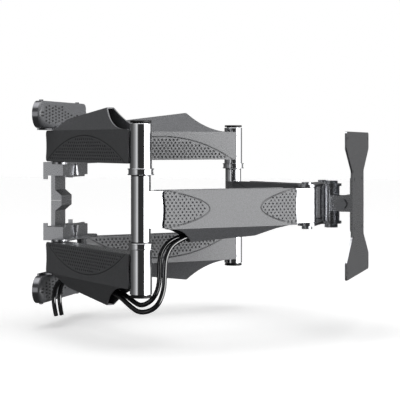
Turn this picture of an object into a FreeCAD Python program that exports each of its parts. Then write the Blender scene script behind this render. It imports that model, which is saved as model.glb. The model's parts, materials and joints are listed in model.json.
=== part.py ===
"""Full motion wall mount for a flat television: six arms, two chrome elbow poles and a swivel head.

Frame: +Z up, the wall is the plane Y = 0, the room is towards -Y, X = 0 is the mid-plane, and the
origin is on the wall halfway between the two wall rails. All sizes are in millimetres.
The right half is modelled once and mirrored to the left, and the upper half once and mirrored down.
"""
import FreeCAD, Part

import math
import os

os.makedirs("parts", exist_ok=True)

V = FreeCAD.Vector
ORIGIN = V(0, 0, 0)
X_AXIS = V(1, 0, 0)
Y_AXIS = V(0, 1, 0)
Z_AXIS = V(0, 0, 1)

# Linkage
SHOULDER_X = 69.0          # shoulder hinge axis from the mid-plane, the same at the head
SHOULDER_Y = 33.0          # shoulder hinge axis from the wall
ARM_LENGTH = 284.5         # shoulder axis to elbow axis, and elbow axis to head axis
ARM_ANGLE = 44.3           # arm to wall plane as stored, in degrees

# Clearances
FACE_GAP = 0.3             # between faces that turn past each other
RUNNING_GAP = 0.05         # on the radius, shaft in bush
OPEN_PIVOT_GAP = 0.5       # on the radius, at the one pivot where the linkage loop is opened
WELD_GAP = 0.2             # between welded pieces
COVER_GAP = 2.0            # beside an arm, between its steel and its plastic cover
COVER_TOP_GAP = 2.8        # between a first arm and the inside of its cover's face top
FOREARM_TOP_GAP = 1.0      # how far the forearm's cover stands above its steel
FOREARM_FLOOR_GAP = 0.5    # between a forearm and its cover's floor

# Wall rails and their covers
RAIL_LENGTH = 200.0
RAIL_SHEET = 3.0
RAIL_END_GAP = 4.0         # between the rail and the trim round it, at each end
RAIL_EDGE_GAP = 2.0        # the same above the rail
COVER_LIFT = 0.4           # between the shoulder shelf and the cover
COVER_HEIGHT = 43.0
COVER_CORNER = 9.0
TRIM_DEPTH = 9.5
TRIM_WALL = 2.0
RAIL_COVER_DEPTH = 6.5
RAIL_COVER_WALL = 2.0
RAIL_COVER_EDGE = 3.0
WALL_SLOT_SPACING = 150.0
WALL_HOLE_RISE = 20.0      # from the cover's lower edge
WALL_HOLE_RADIUS = 4.25
WALL_SLOT_LENGTH = 30.0
TAB_X = 82.0
TAB_SIZE = (6.0, 5.0, 2.0)

# Centre web
WEB_WIDTH = 47.0
WEB_SHEET = 2.5
WEB_DEPTH = 7.0
BULGE_DEPTH = 18.0
BULGE_FLAT = 8.0
BULGE_FOOT = 17.0

# Hinge beams
BEAM_INSET = 11.0          # from the shoulder axis to the beam's end
BEAM_DEPTH = 33.5
BEAM_SHEET = 2.5
BEAM_BOTTOM = 41.0
BEAM_LEG = 35.0
BEAM_LIP_DROP = 3.0
BEAM_LIP_WIDTH = 88.0
HINGE_PLATE_TOP = 62.6
HINGE_PLATE = 3.0
LOBE_RADIUS = 13.0
GUSSET_WIDE = 6.5
GUSSET_NARROW = 2.8

# First arms
ARM_STEEL_WIDTH = 28.0
ARM_STEEL_HEIGHT = 44.0
ARM_WALL = 2.5
BUSH_FLANGE = 1.0
BUSH_WALL = 2.0
BUSH_LENGTH = 14.0
BUSH_FLANGE_RADIUS = 12.0
PIN_RADIUS = 6.0
PIN_HEAD_RADIUS = 9.0
PIN_HEAD = 3.0
PIN_HOLE_IN_COVER = 10.5

# First arm covers, lengths from the shoulder axis
COVER_WALL = 2.0
ARM_COVER_BACK = 15.0
ARM_COVER_SHORT = 3.0
SHELF_GAP = 0.9
HIP_START = 14.0
HIP_END = 57.0
HIP_RISE = 17.5
PEAK_FROM_ELBOW = 99.5
PEAK_RISE = 32.5
SCOOP_MID_FROM_ELBOW = 62.5
SCOOP_MID_RISE = 8.8
SCOOP_END_FROM_ELBOW = 14.5
RIDGE_HALF_WIDTH = 6.0
SCALLOP_DEPTH = 1.8
SCALLOP_MARGIN = 7.0
FACE_CORNER = 5.0
PAD_LENGTH = 10.0
PAD_HEIGHT = 26.0
ARM_PADS_AT = (40.0, 130.0, 225.0)

# Elbow poles
POLE_RADIUS = 9.0
TUBE_RADIUS = 14.0
ELBOW_BUSH_WALL = 2.5
TUBE_HALF = 46.6
RING_RADIUS = 18.7
RING_HEIGHT = 9.2
RING_EDGE = 1.6
SLEEVE_RADIUS = 15.7
SLEEVE_OVER = 7.5          # how far the sleeve stands out of the arm's cover
CAP_NECK_RADIUS = 11.5
CAP_NECK = 1.4
CAP_RADIUS = 15.2
CAP_DISC = 3.2
CAP_EDGE = 0.8

# Forearms, lengths from the elbow axis
FOREARM_TOP = 25.0
FOREARM_BOTTOM = -26.5
FOREARM_COVER_START = 28.0
FOREARM_COVER_SHORT = 30.0
HUMP_START = 78.0
HUMP_DROP = 20.0
HUMP_MID_FROM_HEAD = 99.5
HUMP_MID_DROP = 14.0
HUMP_FOOT_FROM_HEAD = 66.5
HUMP_FOOT_DROP = 4.0
HUMP_END_FROM_HEAD = 44.5
MOUTH_MID = 58.0
MOUTH_MID_DROP = 4.0
FOREARM_PADS_AT = (60.0, 215.0)

# Head
HEAD_PIN_RADIUS = 5.0
HEAD_PIN_HEAD_RADIUS = 8.0
YOKE_PLATE = 4.0
YOKE_LOBE_RADIUS = 14.0
YOKE_WEB_GAP = 15.0        # between a forearm's boss and the yoke's web
TONGUE_LENGTH = 25.0
TONGUE_RADIUS = 16.0
BOLT_RADIUS = 6.0
BOLT_HEAD_RATIO = 1.7      # head across corners, in shank diameters
HEAD_THICKNESS_RATIO = 0.7
BARREL_RADIUS = 13.0
TILT_OFFSET = 22.0
TILT_EYE_RADIUS = 12.0
TILT_EYE_WIDTH = 60.0
TILT_BOLT_RADIUS = 5.0
TILT_PLATE_OFFSET = 14.0
TILT_PLATE = 3.0
TILT_PLATE_WIDTH = 84.0
TILT_PLATE_HEIGHT = 84.0
EAR_SHEET = 4.0
KNOB_RADIUS = 12.0
KNOB_LENGTH = 9.0
KNOB_LOBES = 6
KNOB_GROOVE_AT = 13.5
KNOB_GROOVE_RADIUS = 3.5
VESA_PLATE = 3.0
VESA_LARGE = 200.0
VESA_MIDDLE = 100.0
VESA_SMALL = 75.0
VESA_HOLE_RADIUS = 2.75
VESA_MARGIN = 10.0
VESA_WAIST = 112.0
VESA_WAIST_HALF_HEIGHT = 50.0
VESA_SLOPE_RISE = 34.0
LEVEL_SLOT_AT = 32.0
LEVEL_STUD_RADIUS = 3.0
LEVEL_NUT = 4.0
LEVEL_NUT_RADIUS = 5.4
LEVEL_ANGLE = 3.0

# Cables in the left arms
CABLE_RADIUS = 3.5
CLIP_THICKNESS = 6.0
CLIP_WIDTH = 18.0
CLIPS_AT = (78.0, 170.0)
CLIP_LIP = 1.5             # under the cables
CABLE_TRIM = 0.45          # share of a run that an arc takes
CABLE_SPREAD = 4.5
CABLE_START = 57.0
CABLE_START_DROP = 7.6     # from the lower arm's steel to the cable's centre
CABLE_END = 205.0
CABLE_END_DROP = 17.6

# Places worked out from the sizes above
REACH_X = ARM_LENGTH * math.cos(math.radians(ARM_ANGLE))
REACH_Y = ARM_LENGTH * math.sin(math.radians(ARM_ANGLE))
SHOULDER = V(SHOULDER_X, -SHOULDER_Y, 0)
ELBOW = SHOULDER + V(REACH_X, -REACH_Y, 0)
HEAD = V(SHOULDER_X, -SHOULDER_Y - 2 * REACH_Y, 0)
SWIVEL = V(0, HEAD.y - TONGUE_LENGTH, 0)
TILT_Y = SWIVEL.y - TILT_OFFSET

ARM_BOTTOM = HINGE_PLATE_TOP + FACE_GAP + BUSH_FLANGE
ARM_TOP = ARM_BOTTOM + ARM_STEEL_HEIGHT
FACE_TOP = ARM_TOP + COVER_TOP_GAP + COVER_WALL
SHELF_BOTTOM = FACE_TOP + SHELF_GAP
SHELF_TOP = SHELF_BOTTOM + RAIL_SHEET
COVER_BOTTOM = SHELF_TOP + COVER_LIFT
COVER_LENGTH = RAIL_LENGTH + 2 * (RAIL_END_GAP + TRIM_WALL)
RAIL_TOP = COVER_BOTTOM + COVER_HEIGHT - TRIM_WALL - RAIL_EDGE_GAP
COVER_MIDDLE = COVER_BOTTOM + COVER_HEIGHT / 2
ROUND_END_X = COVER_HEIGHT / 2 - COVER_LENGTH / 2
WALL_HOLE_Z = COVER_BOTTOM + WALL_HOLE_RISE
BEAM_WIDTH = 2 * (SHOULDER_X - BEAM_INSET)
YOKE_WEB_WIDTH = 2 * (SHOULDER_X - ARM_STEEL_WIDTH / 2 - YOKE_WEB_GAP)
PEAK_AT = ARM_LENGTH - PEAK_FROM_ELBOW
SCOOP_MID = ARM_LENGTH - SCOOP_MID_FROM_ELBOW
SCOOP_END = ARM_LENGTH - SCOOP_END_FROM_ELBOW
HUMP_MID = ARM_LENGTH - HUMP_MID_FROM_HEAD
HUMP_FOOT = ARM_LENGTH - HUMP_FOOT_FROM_HEAD
HUMP_END = ARM_LENGTH - HUMP_END_FROM_HEAD
FOREARM_COVER_TOP = FOREARM_TOP + FOREARM_TOP_GAP
FOREARM_COVER_BOTTOM = FOREARM_BOTTOM - FOREARM_FLOOR_GAP - COVER_WALL
SLEEVE_TOP = FACE_TOP + SLEEVE_OVER
TUBE_BORE = POLE_RADIUS + ELBOW_BUSH_WALL
CABLE_START_Z = -ARM_TOP - CABLE_START_DROP
CABLE_END_Z = -ARM_TOP - CABLE_END_DROP
COVER_HALF_WIDTH = ARM_STEEL_WIDTH / 2 + COVER_GAP + COVER_WALL
COVER_INNER = COVER_HALF_WIDTH - COVER_WALL
RING_BOTTOM = TUBE_HALF + BUSH_FLANGE + FACE_GAP
RING_TOP = RING_BOTTOM + RING_HEIGHT
FAR = 400.0


def box(x0, x1, y0, y1, z0, z1):
    """A block between two opposite corners."""
    return Part.makeBox(x1 - x0, y1 - y0, z1 - z0, V(x0, y0, z0))


def rod(radius, z0, z1, x=0.0, y=0.0):
    """An upright cylinder."""
    return Part.makeCylinder(radius, z1 - z0, V(x, y, z0))


def tube(outer, bore, z0, z1, x=0.0, y=0.0):
    """An upright tube."""
    return rod(outer, z0, z1, x, y).cut(rod(bore, z0, z1, x, y))


def side_prism(points, half_width):
    """An outline in X and Z, carried across Y on both sides."""
    wire = Part.makePolygon([V(x, -half_width, z) for x, z in points + points[:1]])
    return Part.Face(wire).extrude(V(0, 2 * half_width, 0))


def section_prism(points, x0, x1):
    """An outline in Y and Z, carried along X."""
    wire = Part.makePolygon([V(x0, y, z) for y, z in points + points[:1]])
    return Part.Face(wire).extrude(V(x1 - x0, 0, 0))


def plate(points, z0, z1):
    """A flat outline in X and Y, given its thickness in Z."""
    wire = Part.makePolygon([V(x, y, z0) for x, y in points + points[:1]])
    return Part.Face(wire).extrude(V(0, 0, z1 - z0))


def edges_along(shape, axis):
    """The straight edges of a shape that run along an axis."""
    found = []
    for edge in shape.Edges:
        if isinstance(edge.Curve, Part.Line) and abs(edge.tangentAt(edge.FirstParameter).dot(axis)) > 0.999:
            found.append(edge)
    return found


def rounded(shape, radius, axis):
    """Rounds the edges of a shape that run along an axis."""
    return shape.makeFillet(radius, edges_along(shape, axis))


def flipped(shape):
    """The same shape below the mid-height plane."""
    return shape.mirror(ORIGIN, Z_AXIS)


def mirrored(shape):
    """The same shape on the other side of the mid-plane."""
    return shape.mirror(ORIGIN, X_AXIS)


def on_arm(shape):
    """Moves a shape from the first arm's own frame to the right shoulder."""
    placed = shape.copy()
    placed.rotate(ORIGIN, Z_AXIS, -ARM_ANGLE)
    placed.translate(SHOULDER)
    return placed


def on_forearm(shape):
    """Moves a shape from the forearm's own frame to the right elbow."""
    placed = shape.copy()
    placed.rotate(ORIGIN, Z_AXIS, 180 + ARM_ANGLE)
    placed.translate(ELBOW)
    return placed


def save(name, *shapes):
    """Writes one node: a single solid, or a group of like solids."""
    solids = [solid for shape in shapes for solid in shape.Solids]
    whole = solids[0] if len(solids) == 1 else Part.makeCompound(solids)
    whole.exportStep("parts/" + name + ".step")


def save_pair(name, shape):
    """Writes the right-hand node and its left-hand mirror image."""
    save(name + "_right", shape)
    save(name + "_left", mirrored(shape))


def save_levels(name, shape):
    """Writes the upper node and its mirror image at the lower level."""
    save("upper_" + name, shape)
    save("lower_" + name, flipped(shape))


def save_corners(name, shape):
    """Writes upper and lower nodes on both sides."""
    save_pair("upper_" + name, shape)
    save_pair("lower_" + name, flipped(shape))


# ---------------------------------------------------------------- wall side

def hinge_lobes(z0, z1, depth, width):
    """A plate against the wall whose front corners reach round both shoulder pins."""
    front = -SHOULDER_Y - LOBE_RADIUS
    shape = box(-SHOULDER_X, SHOULDER_X, front, -SHOULDER_Y + LOBE_RADIUS, z0, z1)
    shape = shape.fuse(box(-width / 2, width / 2, -SHOULDER_Y, -depth, z0, z1))
    for x in (-SHOULDER_X, SHOULDER_X):
        shape = shape.fuse(rod(LOBE_RADIUS, z0, z1, x, -SHOULDER_Y))
    return shape.removeSplitter()


def pin_holes(z0, z1):
    """Holes for both shoulder pins."""
    return [rod(PIN_RADIUS, z0, z1, x, -SHOULDER_Y) for x in (-SHOULDER_X, SHOULDER_X)]


def slot(length, radius, y0, y1, x, z):
    """A slot through a wall plate, lying along X."""
    half = length / 2 - radius
    shape = box(x - half, x + half, y0, y1, z - radius, z + radius)
    for end in (x - half, x + half):
        shape = shape.fuse(Part.makeCylinder(radius, y1 - y0, V(end, y0, z), Y_AXIS))
    return shape


def rail():
    """Wall rail: a bolted strip whose lower edge is folded forward into the shoulder shelf."""
    back = box(ROUND_END_X, RAIL_LENGTH / 2, -RAIL_SHEET, 0, SHELF_BOTTOM, RAIL_TOP)
    end = V(ROUND_END_X, -RAIL_SHEET, COVER_MIDDLE)
    back = back.fuse(Part.makeCylinder(RAIL_TOP - COVER_MIDDLE, RAIL_SHEET, end, Y_AXIS))
    shelf = hinge_lobes(SHELF_BOTTOM, SHELF_TOP, RAIL_SHEET, 2 * SHOULDER_X)
    shape = back.fuse(shelf).removeSplitter()
    cuts = pin_holes(SHELF_BOTTOM, SHELF_TOP)
    for x in (-WALL_SLOT_SPACING / 2, WALL_SLOT_SPACING / 2):
        cuts.append(slot(WALL_SLOT_LENGTH, WALL_HOLE_RADIUS, -RAIL_SHEET, 0, x, WALL_HOLE_Z))
    cuts.append(Part.makeCylinder(WALL_HOLE_RADIUS, RAIL_SHEET, V(0, -RAIL_SHEET, WALL_HOLE_Z), Y_AXIS))
    return shape.cut(cuts)


def cover_outline(inset, y0, y1):
    """A block with the rail cover's outline, drawn in by an inset: half round at the left, square at the right."""
    low = COVER_BOTTOM + inset
    high = COVER_BOTTOM + COVER_HEIGHT - inset
    shape = box(ROUND_END_X, COVER_LENGTH / 2 - inset, y0, y1, low, high)
    corners = [edge for edge in shape.Edges if edge.BoundBox.XMin > 0 and edge.BoundBox.YLength > y1 - y0 - 0.1]
    shape = shape.makeFillet(COVER_CORNER - inset, corners)
    end = Part.makeCylinder((high - low) / 2, y1 - y0, V(ROUND_END_X, y0, COVER_MIDDLE), Y_AXIS)
    return shape.fuse(end).removeSplitter()


def rail_trim():
    """Glossy frame that stands round the rail and carries its cover."""
    ring = cover_outline(0, -TRIM_DEPTH, 0).cut(cover_outline(TRIM_WALL, -TRIM_DEPTH, 0))
    left = ROUND_END_X - FACE_GAP
    right = RAIL_LENGTH / 2 + FACE_GAP
    return ring.cut(box(left, right, -RAIL_SHEET - FACE_GAP, 0, 0, COVER_MIDDLE))


def rail_cover():
    """Snap-on cover in front of the trim, hollow behind."""
    front = -TRIM_DEPTH - RAIL_COVER_DEPTH
    outer = cover_outline(0, front, -TRIM_DEPTH)
    rim = [edge for edge in outer.Edges if edge.BoundBox.YMax < front + 0.1]
    outer = outer.makeFillet(RAIL_COVER_EDGE, rim)
    return outer.cut(cover_outline(RAIL_COVER_WALL, front + RAIL_COVER_WALL, -TRIM_DEPTH))


def cover_tabs():
    """Locating tabs that show on the outer edge of each rail cover."""
    width, depth, height = TAB_SIZE
    top = COVER_BOTTOM + COVER_HEIGHT
    tabs = []
    for x in (-TAB_X, TAB_X):
        tab = box(x - width / 2, x + width / 2, -TRIM_DEPTH + 1, -TRIM_DEPTH + 1 + depth, top, top + height)
        tab = tab.makeFillet(height / 3, [edge for edge in tab.Edges if edge.BoundBox.ZMin > top + 0.1])
        tabs += [tab, flipped(tab)]
    return tabs


def web_profile(depth, bulge, inset):
    """The web's outline from the side, in Y and Z, from mid-height up."""
    return [
        (FAR if inset else 0, WELD_GAP),
        (-bulge, WELD_GAP),
        (-bulge, BULGE_FLAT),
        (-depth, BULGE_FOOT),
        (-depth, SHELF_BOTTOM - WELD_GAP),
        (FAR if inset else 0, SHELF_BOTTOM - WELD_GAP),
    ]


def centre_web():
    """Upper half of the pressed channel that joins both rails, open towards the wall."""
    half = WEB_WIDTH / 2
    outer = section_prism(web_profile(WEB_DEPTH, BULGE_DEPTH, 0), -half, half)
    inner = section_prism(
        web_profile(WEB_DEPTH - WEB_SHEET, BULGE_DEPTH - WEB_SHEET, 1), -half + WEB_SHEET, half - WEB_SHEET
    )
    return outer.cut(inner)


def hinge_beam():
    """Folded beam under the upper arms, with the hinge plate on top and a pressed gusset in front."""
    half = BEAM_WIDTH / 2
    plate_bottom = HINGE_PLATE_TOP - HINGE_PLATE
    shape = hinge_lobes(plate_bottom, HINGE_PLATE_TOP, 0, BEAM_WIDTH)
    shell = box(-half, half, -BEAM_DEPTH, 0, BEAM_BOTTOM, plate_bottom)
    hollow = box(-half + BEAM_SHEET, half - BEAM_SHEET, -BEAM_DEPTH + BEAM_SHEET, 0,
                 BEAM_BOTTOM + BEAM_SHEET, plate_bottom)
    shape = shape.fuse(shell.cut(hollow))
    lip = BEAM_LIP_WIDTH / 2
    shape = shape.fuse(box(-lip, lip, -BEAM_DEPTH, -BEAM_DEPTH + BEAM_SHEET,
                           BEAM_BOTTOM - BEAM_LIP_DROP, BEAM_BOTTOM))
    for x in (-half, half - BEAM_SHEET):
        shape = shape.fuse(box(x, x + BEAM_SHEET, -WEB_DEPTH, 0, BEAM_LEG, BEAM_BOTTOM))
    foot = V(0, -BEAM_DEPTH, BEAM_BOTTOM)
    gusset = Part.makeCone(GUSSET_WIDE, GUSSET_NARROW, plate_bottom - BEAM_BOTTOM, foot)
    shape = shape.fuse(gusset)
    window = WEB_WIDTH / 2 + WELD_GAP
    web_slot = box(-window, window, -WEB_DEPTH - WELD_GAP, 0, 0, FAR)
    return shape.cut([web_slot] + pin_holes(BEAM_BOTTOM, HINGE_PLATE_TOP)).removeSplitter()


def shoulder_pin(x):
    """Headed pin from the rail's shelf down to the beam's hinge plate."""
    pin = rod(PIN_RADIUS, HINGE_PLATE_TOP - HINGE_PLATE, SHELF_TOP, x, -SHOULDER_Y)
    head = rod(PIN_HEAD_RADIUS, SHELF_TOP, SHELF_TOP + PIN_HEAD, x, -SHOULDER_Y)
    return pin.fuse(head)


def shoulder_spacer(x):
    """Spacer tube on the pin between the arm's bush and the shelf."""
    return tube(PIN_HEAD_RADIUS, PIN_RADIUS, ARM_TOP + BUSH_FLANGE + FACE_GAP, SHELF_BOTTOM, x, -SHOULDER_Y)


# ---------------------------------------------------------------- first arms

def bush(shaft, wall, z_face, up, flange_radius, clearance=RUNNING_GAP):
    """Flanged bush: the flange stands outside the face at z_face, the sleeve goes in behind it."""
    sign = 1 if up else -1
    outside = sorted((z_face, z_face + sign * BUSH_FLANGE))
    inside = sorted((z_face, z_face - sign * BUSH_LENGTH))
    shape = rod(flange_radius, *outside).fuse(rod(shaft + wall, *inside))
    return shape.cut(rod(shaft + clearance, min(outside + inside), max(outside + inside)))


def arm_steel():
    """Rectangular steel tube with a round hinge boss, coped to fit the chrome sleeve."""
    half = ARM_STEEL_WIDTH / 2
    shape = box(0, ARM_LENGTH, -half, half, ARM_BOTTOM, ARM_TOP)
    inner = half - ARM_WALL
    hollow = box(half, ARM_LENGTH, -inner, inner, ARM_BOTTOM + ARM_WALL, ARM_TOP - ARM_WALL)
    shape = shape.cut(hollow).fuse(rod(half, ARM_BOTTOM, ARM_TOP)).removeSplitter()
    shape = shape.cut(rod(SLEEVE_RADIUS, ARM_BOTTOM, ARM_TOP, ARM_LENGTH))
    shape = shape.cut(box(ARM_LENGTH, ARM_LENGTH + half, -half, half, ARM_BOTTOM, ARM_TOP))
    return shape.cut(rod(PIN_RADIUS + BUSH_WALL, ARM_BOTTOM, ARM_TOP))


def roof_section(half_width, ridge, foot, top, base):
    """A face-high outline whose sides lean in above the foot, in Y and Z."""
    slope = (half_width - ridge) / (top - foot)
    over = half_width - slope * (FAR / 10)
    high = foot + FAR / 10
    return [(-half_width, base), (half_width, base), (half_width, foot), (over, high), (-over, high),
            (-half_width, foot)]


def scallop(x, z0, z1, outward):
    """A shallow round cutter across the end edge of a cover."""
    chord = z1 - z0 - 2 * SCALLOP_MARGIN
    radius = (chord ** 2 / 4 + SCALLOP_DEPTH ** 2) / (2 * SCALLOP_DEPTH)
    centre = x + outward * (radius - SCALLOP_DEPTH)
    return Part.makeCylinder(radius, 2 * FAR, V(centre, -FAR, (z0 + z1) / 2), Y_AXIS)


def scoop(a, b, c, far_z):
    """A cutter beyond an arc through three points in X and Z, reaching to a far level."""
    arc = Part.Arc(V(a[0], -FAR, a[1]), V(b[0], -FAR, b[1]), V(c[0], -FAR, c[1])).toShape()
    up = Part.makeLine(V(c[0], -FAR, c[1]), V(c[0], -FAR, far_z))
    across = Part.makeLine(V(c[0], -FAR, far_z), V(a[0], -FAR, far_z))
    down = Part.makeLine(V(a[0], -FAR, far_z), V(a[0], -FAR, a[1]))
    return Part.Face(Part.Wire([arc, up, across, down])).extrude(V(0, 2 * FAR, 0))


def arm_cover():
    """Plastic shell over an upper first arm: dotted side faces, a ridged roof and a mouth at both ends."""
    start = -ARM_COVER_BACK
    end = ARM_LENGTH - ARM_COVER_SHORT
    peak = FACE_TOP + PEAK_RISE
    hip = FACE_TOP + HIP_RISE
    face = rounded(side_prism([(start, ARM_BOTTOM), (end, ARM_BOTTOM), (end, FACE_TOP), (start, FACE_TOP)],
                              COVER_HALF_WIDTH), FACE_CORNER, Y_AXIS)
    roof = side_prism([(HIP_START, FACE_TOP - FACE_CORNER), (SCOOP_END, FACE_TOP - FACE_CORNER),
                       (SCOOP_END, FACE_TOP), (SCOOP_END, peak), (PEAK_AT, peak), (HIP_END, hip),
                       (HIP_START, FACE_TOP)], COVER_HALF_WIDTH)
    middle_of_scoop = (SCOOP_MID, FACE_TOP + SCOOP_MID_RISE)
    scoop_cut = scoop((PEAK_AT, peak), middle_of_scoop, (SCOOP_END, FACE_TOP), peak + 1)
    shell = face.fuse(roof.cut(scoop_cut)).removeSplitter()
    outside = roof_section(COVER_HALF_WIDTH, RIDGE_HALF_WIDTH, FACE_TOP, peak, ARM_BOTTOM)
    shell = shell.common(section_prism(outside, start, end))
    shell = shell.cut([scallop(start, ARM_BOTTOM, FACE_TOP, -1), scallop(end, ARM_BOTTOM, FACE_TOP, 1)])
    low, high = ARM_BOTTOM - 1, peak + 1
    ceiling = FACE_TOP - COVER_WALL
    hollow = side_prism([(start - 1, low), (start - 1, ceiling), (HIP_START, ceiling), (HIP_START, high),
                         (HIP_END, high), (HIP_END, hip - COVER_WALL),
                         (PEAK_AT, peak - COVER_WALL), (PEAK_AT, high), (end + 1, high), (end + 1, low)],
                        COVER_HALF_WIDTH)
    inside = roof_section(COVER_INNER, RIDGE_HALF_WIDTH - COVER_WALL, FACE_TOP, peak, low)
    shell = shell.cut(hollow.common(section_prism(inside, start - 2, end + 2)))
    shell = shell.cut(rod(PIN_HOLE_IN_COVER, FACE_TOP - COVER_WALL - 1, FACE_TOP + 1))
    middle = (ARM_BOTTOM + ARM_TOP) / 2
    return shell.fuse(pads(ARM_PADS_AT, middle))


def pads(places, middle):
    """Ribs inside a cover that bear on the steel arm."""
    blocks = []
    for x in places:
        for y in (-COVER_INNER, COVER_INNER - COVER_GAP):
            blocks.append(box(x - PAD_LENGTH / 2, x + PAD_LENGTH / 2, y, y + COVER_GAP,
                              middle - PAD_HEIGHT / 2, middle + PAD_HEIGHT / 2))
    return blocks


def collar_ring():
    """Chrome thrust ring between the forearm's tube and the arm's sleeve."""
    ring = rod(RING_RADIUS, RING_BOTTOM, RING_TOP)
    ring = ring.makeFillet(RING_EDGE, [edge for edge in ring.Edges if isinstance(edge.Curve, Part.Circle)])
    return ring.cut(rod(POLE_RADIUS, RING_BOTTOM, RING_TOP))


def end_cap():
    """Black cap on a short neck at the end of the pole."""
    disc = rod(CAP_RADIUS, SLEEVE_TOP + CAP_NECK, SLEEVE_TOP + CAP_NECK + CAP_DISC)
    disc = disc.makeFillet(CAP_EDGE, [edge for edge in disc.Edges if isinstance(edge.Curve, Part.Circle)])
    return disc.fuse(rod(CAP_NECK_RADIUS, SLEEVE_TOP, SLEEVE_TOP + CAP_NECK))


# ---------------------------------------------------------------- forearms

def forearm_steel():
    """Rectangular steel tube from the elbow's chrome tube to a round boss at the head."""
    half = ARM_STEEL_WIDTH / 2
    shape = box(0, ARM_LENGTH, -half, half, FOREARM_BOTTOM, FOREARM_TOP)
    hollow = box(0, ARM_LENGTH - half, -half + ARM_WALL, half - ARM_WALL,
                 FOREARM_BOTTOM + ARM_WALL, FOREARM_TOP - ARM_WALL)
    shape = shape.cut(hollow).fuse(rod(half, FOREARM_BOTTOM, FOREARM_TOP, ARM_LENGTH)).removeSplitter()
    shape = shape.cut(rod(TUBE_RADIUS, FOREARM_BOTTOM, FOREARM_TOP))
    shape = shape.cut(box(-half, 0, -half, half, FOREARM_BOTTOM, FOREARM_TOP))
    return shape.cut(rod(HEAD_PIN_RADIUS + BUSH_WALL, FOREARM_BOTTOM, FOREARM_TOP, ARM_LENGTH))


def forearm_cover():
    """Plastic shell round the forearm, open on top, with a cable hump and a mouth below."""
    start = FOREARM_COVER_START
    end = ARM_LENGTH - FOREARM_COVER_SHORT
    base = FOREARM_COVER_BOTTOM
    corners = [(start, base), (end, base), (end, FOREARM_COVER_TOP), (start, FOREARM_COVER_TOP)]
    face = rounded(side_prism(corners, COVER_HALF_WIDTH), FACE_CORNER, Y_AXIS)
    keel = [(start + FACE_CORNER, base + FACE_CORNER), (start + FACE_CORNER, base - HUMP_DROP),
            (HUMP_START, base - HUMP_DROP), (HUMP_MID, base - HUMP_MID_DROP),
            (HUMP_FOOT, base - HUMP_FOOT_DROP), (HUMP_END, base), (HUMP_END, base + FACE_CORNER)]
    mouth = scoop((HUMP_START, base - HUMP_DROP), (MOUTH_MID, base - MOUTH_MID_DROP),
                  (start + FACE_CORNER, base), base - HUMP_DROP - 1)
    shell = face.fuse(side_prism(keel, COVER_HALF_WIDTH).cut(mouth)).removeSplitter()
    outside = roof_section(COVER_HALF_WIDTH, RIDGE_HALF_WIDTH, -base, HUMP_DROP - base, -FOREARM_COVER_TOP)
    shell = shell.common(flipped(section_prism(outside, start, end)))
    shell = shell.cut([scallop(start, base, FOREARM_COVER_TOP, -1), scallop(end, base, FOREARM_COVER_TOP, 1)])
    low = base - HUMP_DROP - 1
    high = FOREARM_COVER_TOP + 1
    hollow = side_prism([(start - 1, high), (start - 1, low), (HUMP_START, low),
                         (HUMP_START, base - HUMP_DROP + COVER_WALL),
                         (HUMP_MID, base - HUMP_MID_DROP + COVER_WALL),
                         (HUMP_FOOT, base - HUMP_FOOT_DROP + COVER_WALL), (HUMP_END, base + COVER_WALL),
                         (end + 1, base + COVER_WALL), (end + 1, high)], COVER_HALF_WIDTH)
    inside = roof_section(COVER_INNER, RIDGE_HALF_WIDTH - COVER_WALL, -base, HUMP_DROP - base, -high)
    shell = shell.cut(hollow.common(flipped(section_prism(inside, start - 2, end + 2))))
    middle = (FOREARM_TOP + FOREARM_BOTTOM) / 2
    return shell.fuse(pads(FOREARM_PADS_AT, middle))


# ---------------------------------------------------------------- head

YOKE_TOP_INNER = FOREARM_TOP + BUSH_FLANGE + FACE_GAP
YOKE_BOTTOM_INNER = FOREARM_BOTTOM - BUSH_FLANGE - FACE_GAP


def yoke_plate(z0, z1):
    """Flat plate of the yoke: a bar between the head pins and a tongue to the swivel bolt."""
    shape = box(-HEAD.x, HEAD.x, HEAD.y - YOKE_LOBE_RADIUS, HEAD.y + YOKE_LOBE_RADIUS, z0, z1)
    for x in (-HEAD.x, HEAD.x):
        shape = shape.fuse(rod(YOKE_LOBE_RADIUS, z0, z1, x, HEAD.y))
    shape = shape.fuse(rod(TONGUE_RADIUS, z0, z1, SWIVEL.x, SWIVEL.y))
    shape = shape.fuse(box(-TONGUE_RADIUS, TONGUE_RADIUS, SWIVEL.y, HEAD.y, z0, z1)).removeSplitter()
    holes = [rod(HEAD_PIN_RADIUS, z0, z1, x, HEAD.y) for x in (-HEAD.x, HEAD.x)]
    return shape.cut(holes + [rod(BOLT_RADIUS, z0, z1, SWIVEL.x, SWIVEL.y)])


def head_yoke():
    """Pressed yoke that ties both forearms together and carries the swivel bolt."""
    upper = yoke_plate(YOKE_TOP_INNER, YOKE_TOP_INNER + YOKE_PLATE)
    lower = yoke_plate(YOKE_BOTTOM_INNER - YOKE_PLATE, YOKE_BOTTOM_INNER)
    half = YOKE_WEB_WIDTH / 2
    back = HEAD.y + YOKE_LOBE_RADIUS
    web = box(-half, half, back - YOKE_PLATE, back, YOKE_BOTTOM_INNER, YOKE_TOP_INNER)
    return upper.fuse([lower, web]).removeSplitter()


def through_bolt(radius, head_radius, x, y):
    """Headed bolt through both yoke plates with a nut below."""
    top = YOKE_TOP_INNER + YOKE_PLATE
    bottom = YOKE_BOTTOM_INNER - YOKE_PLATE
    shape = rod(radius, bottom - radius, top, x, y)
    shape = shape.fuse(rod(head_radius, top, top + HEAD_THICKNESS_RATIO * radius, x, y))
    return shape.fuse(rod(head_radius, bottom - radius, bottom, x, y))


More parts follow.
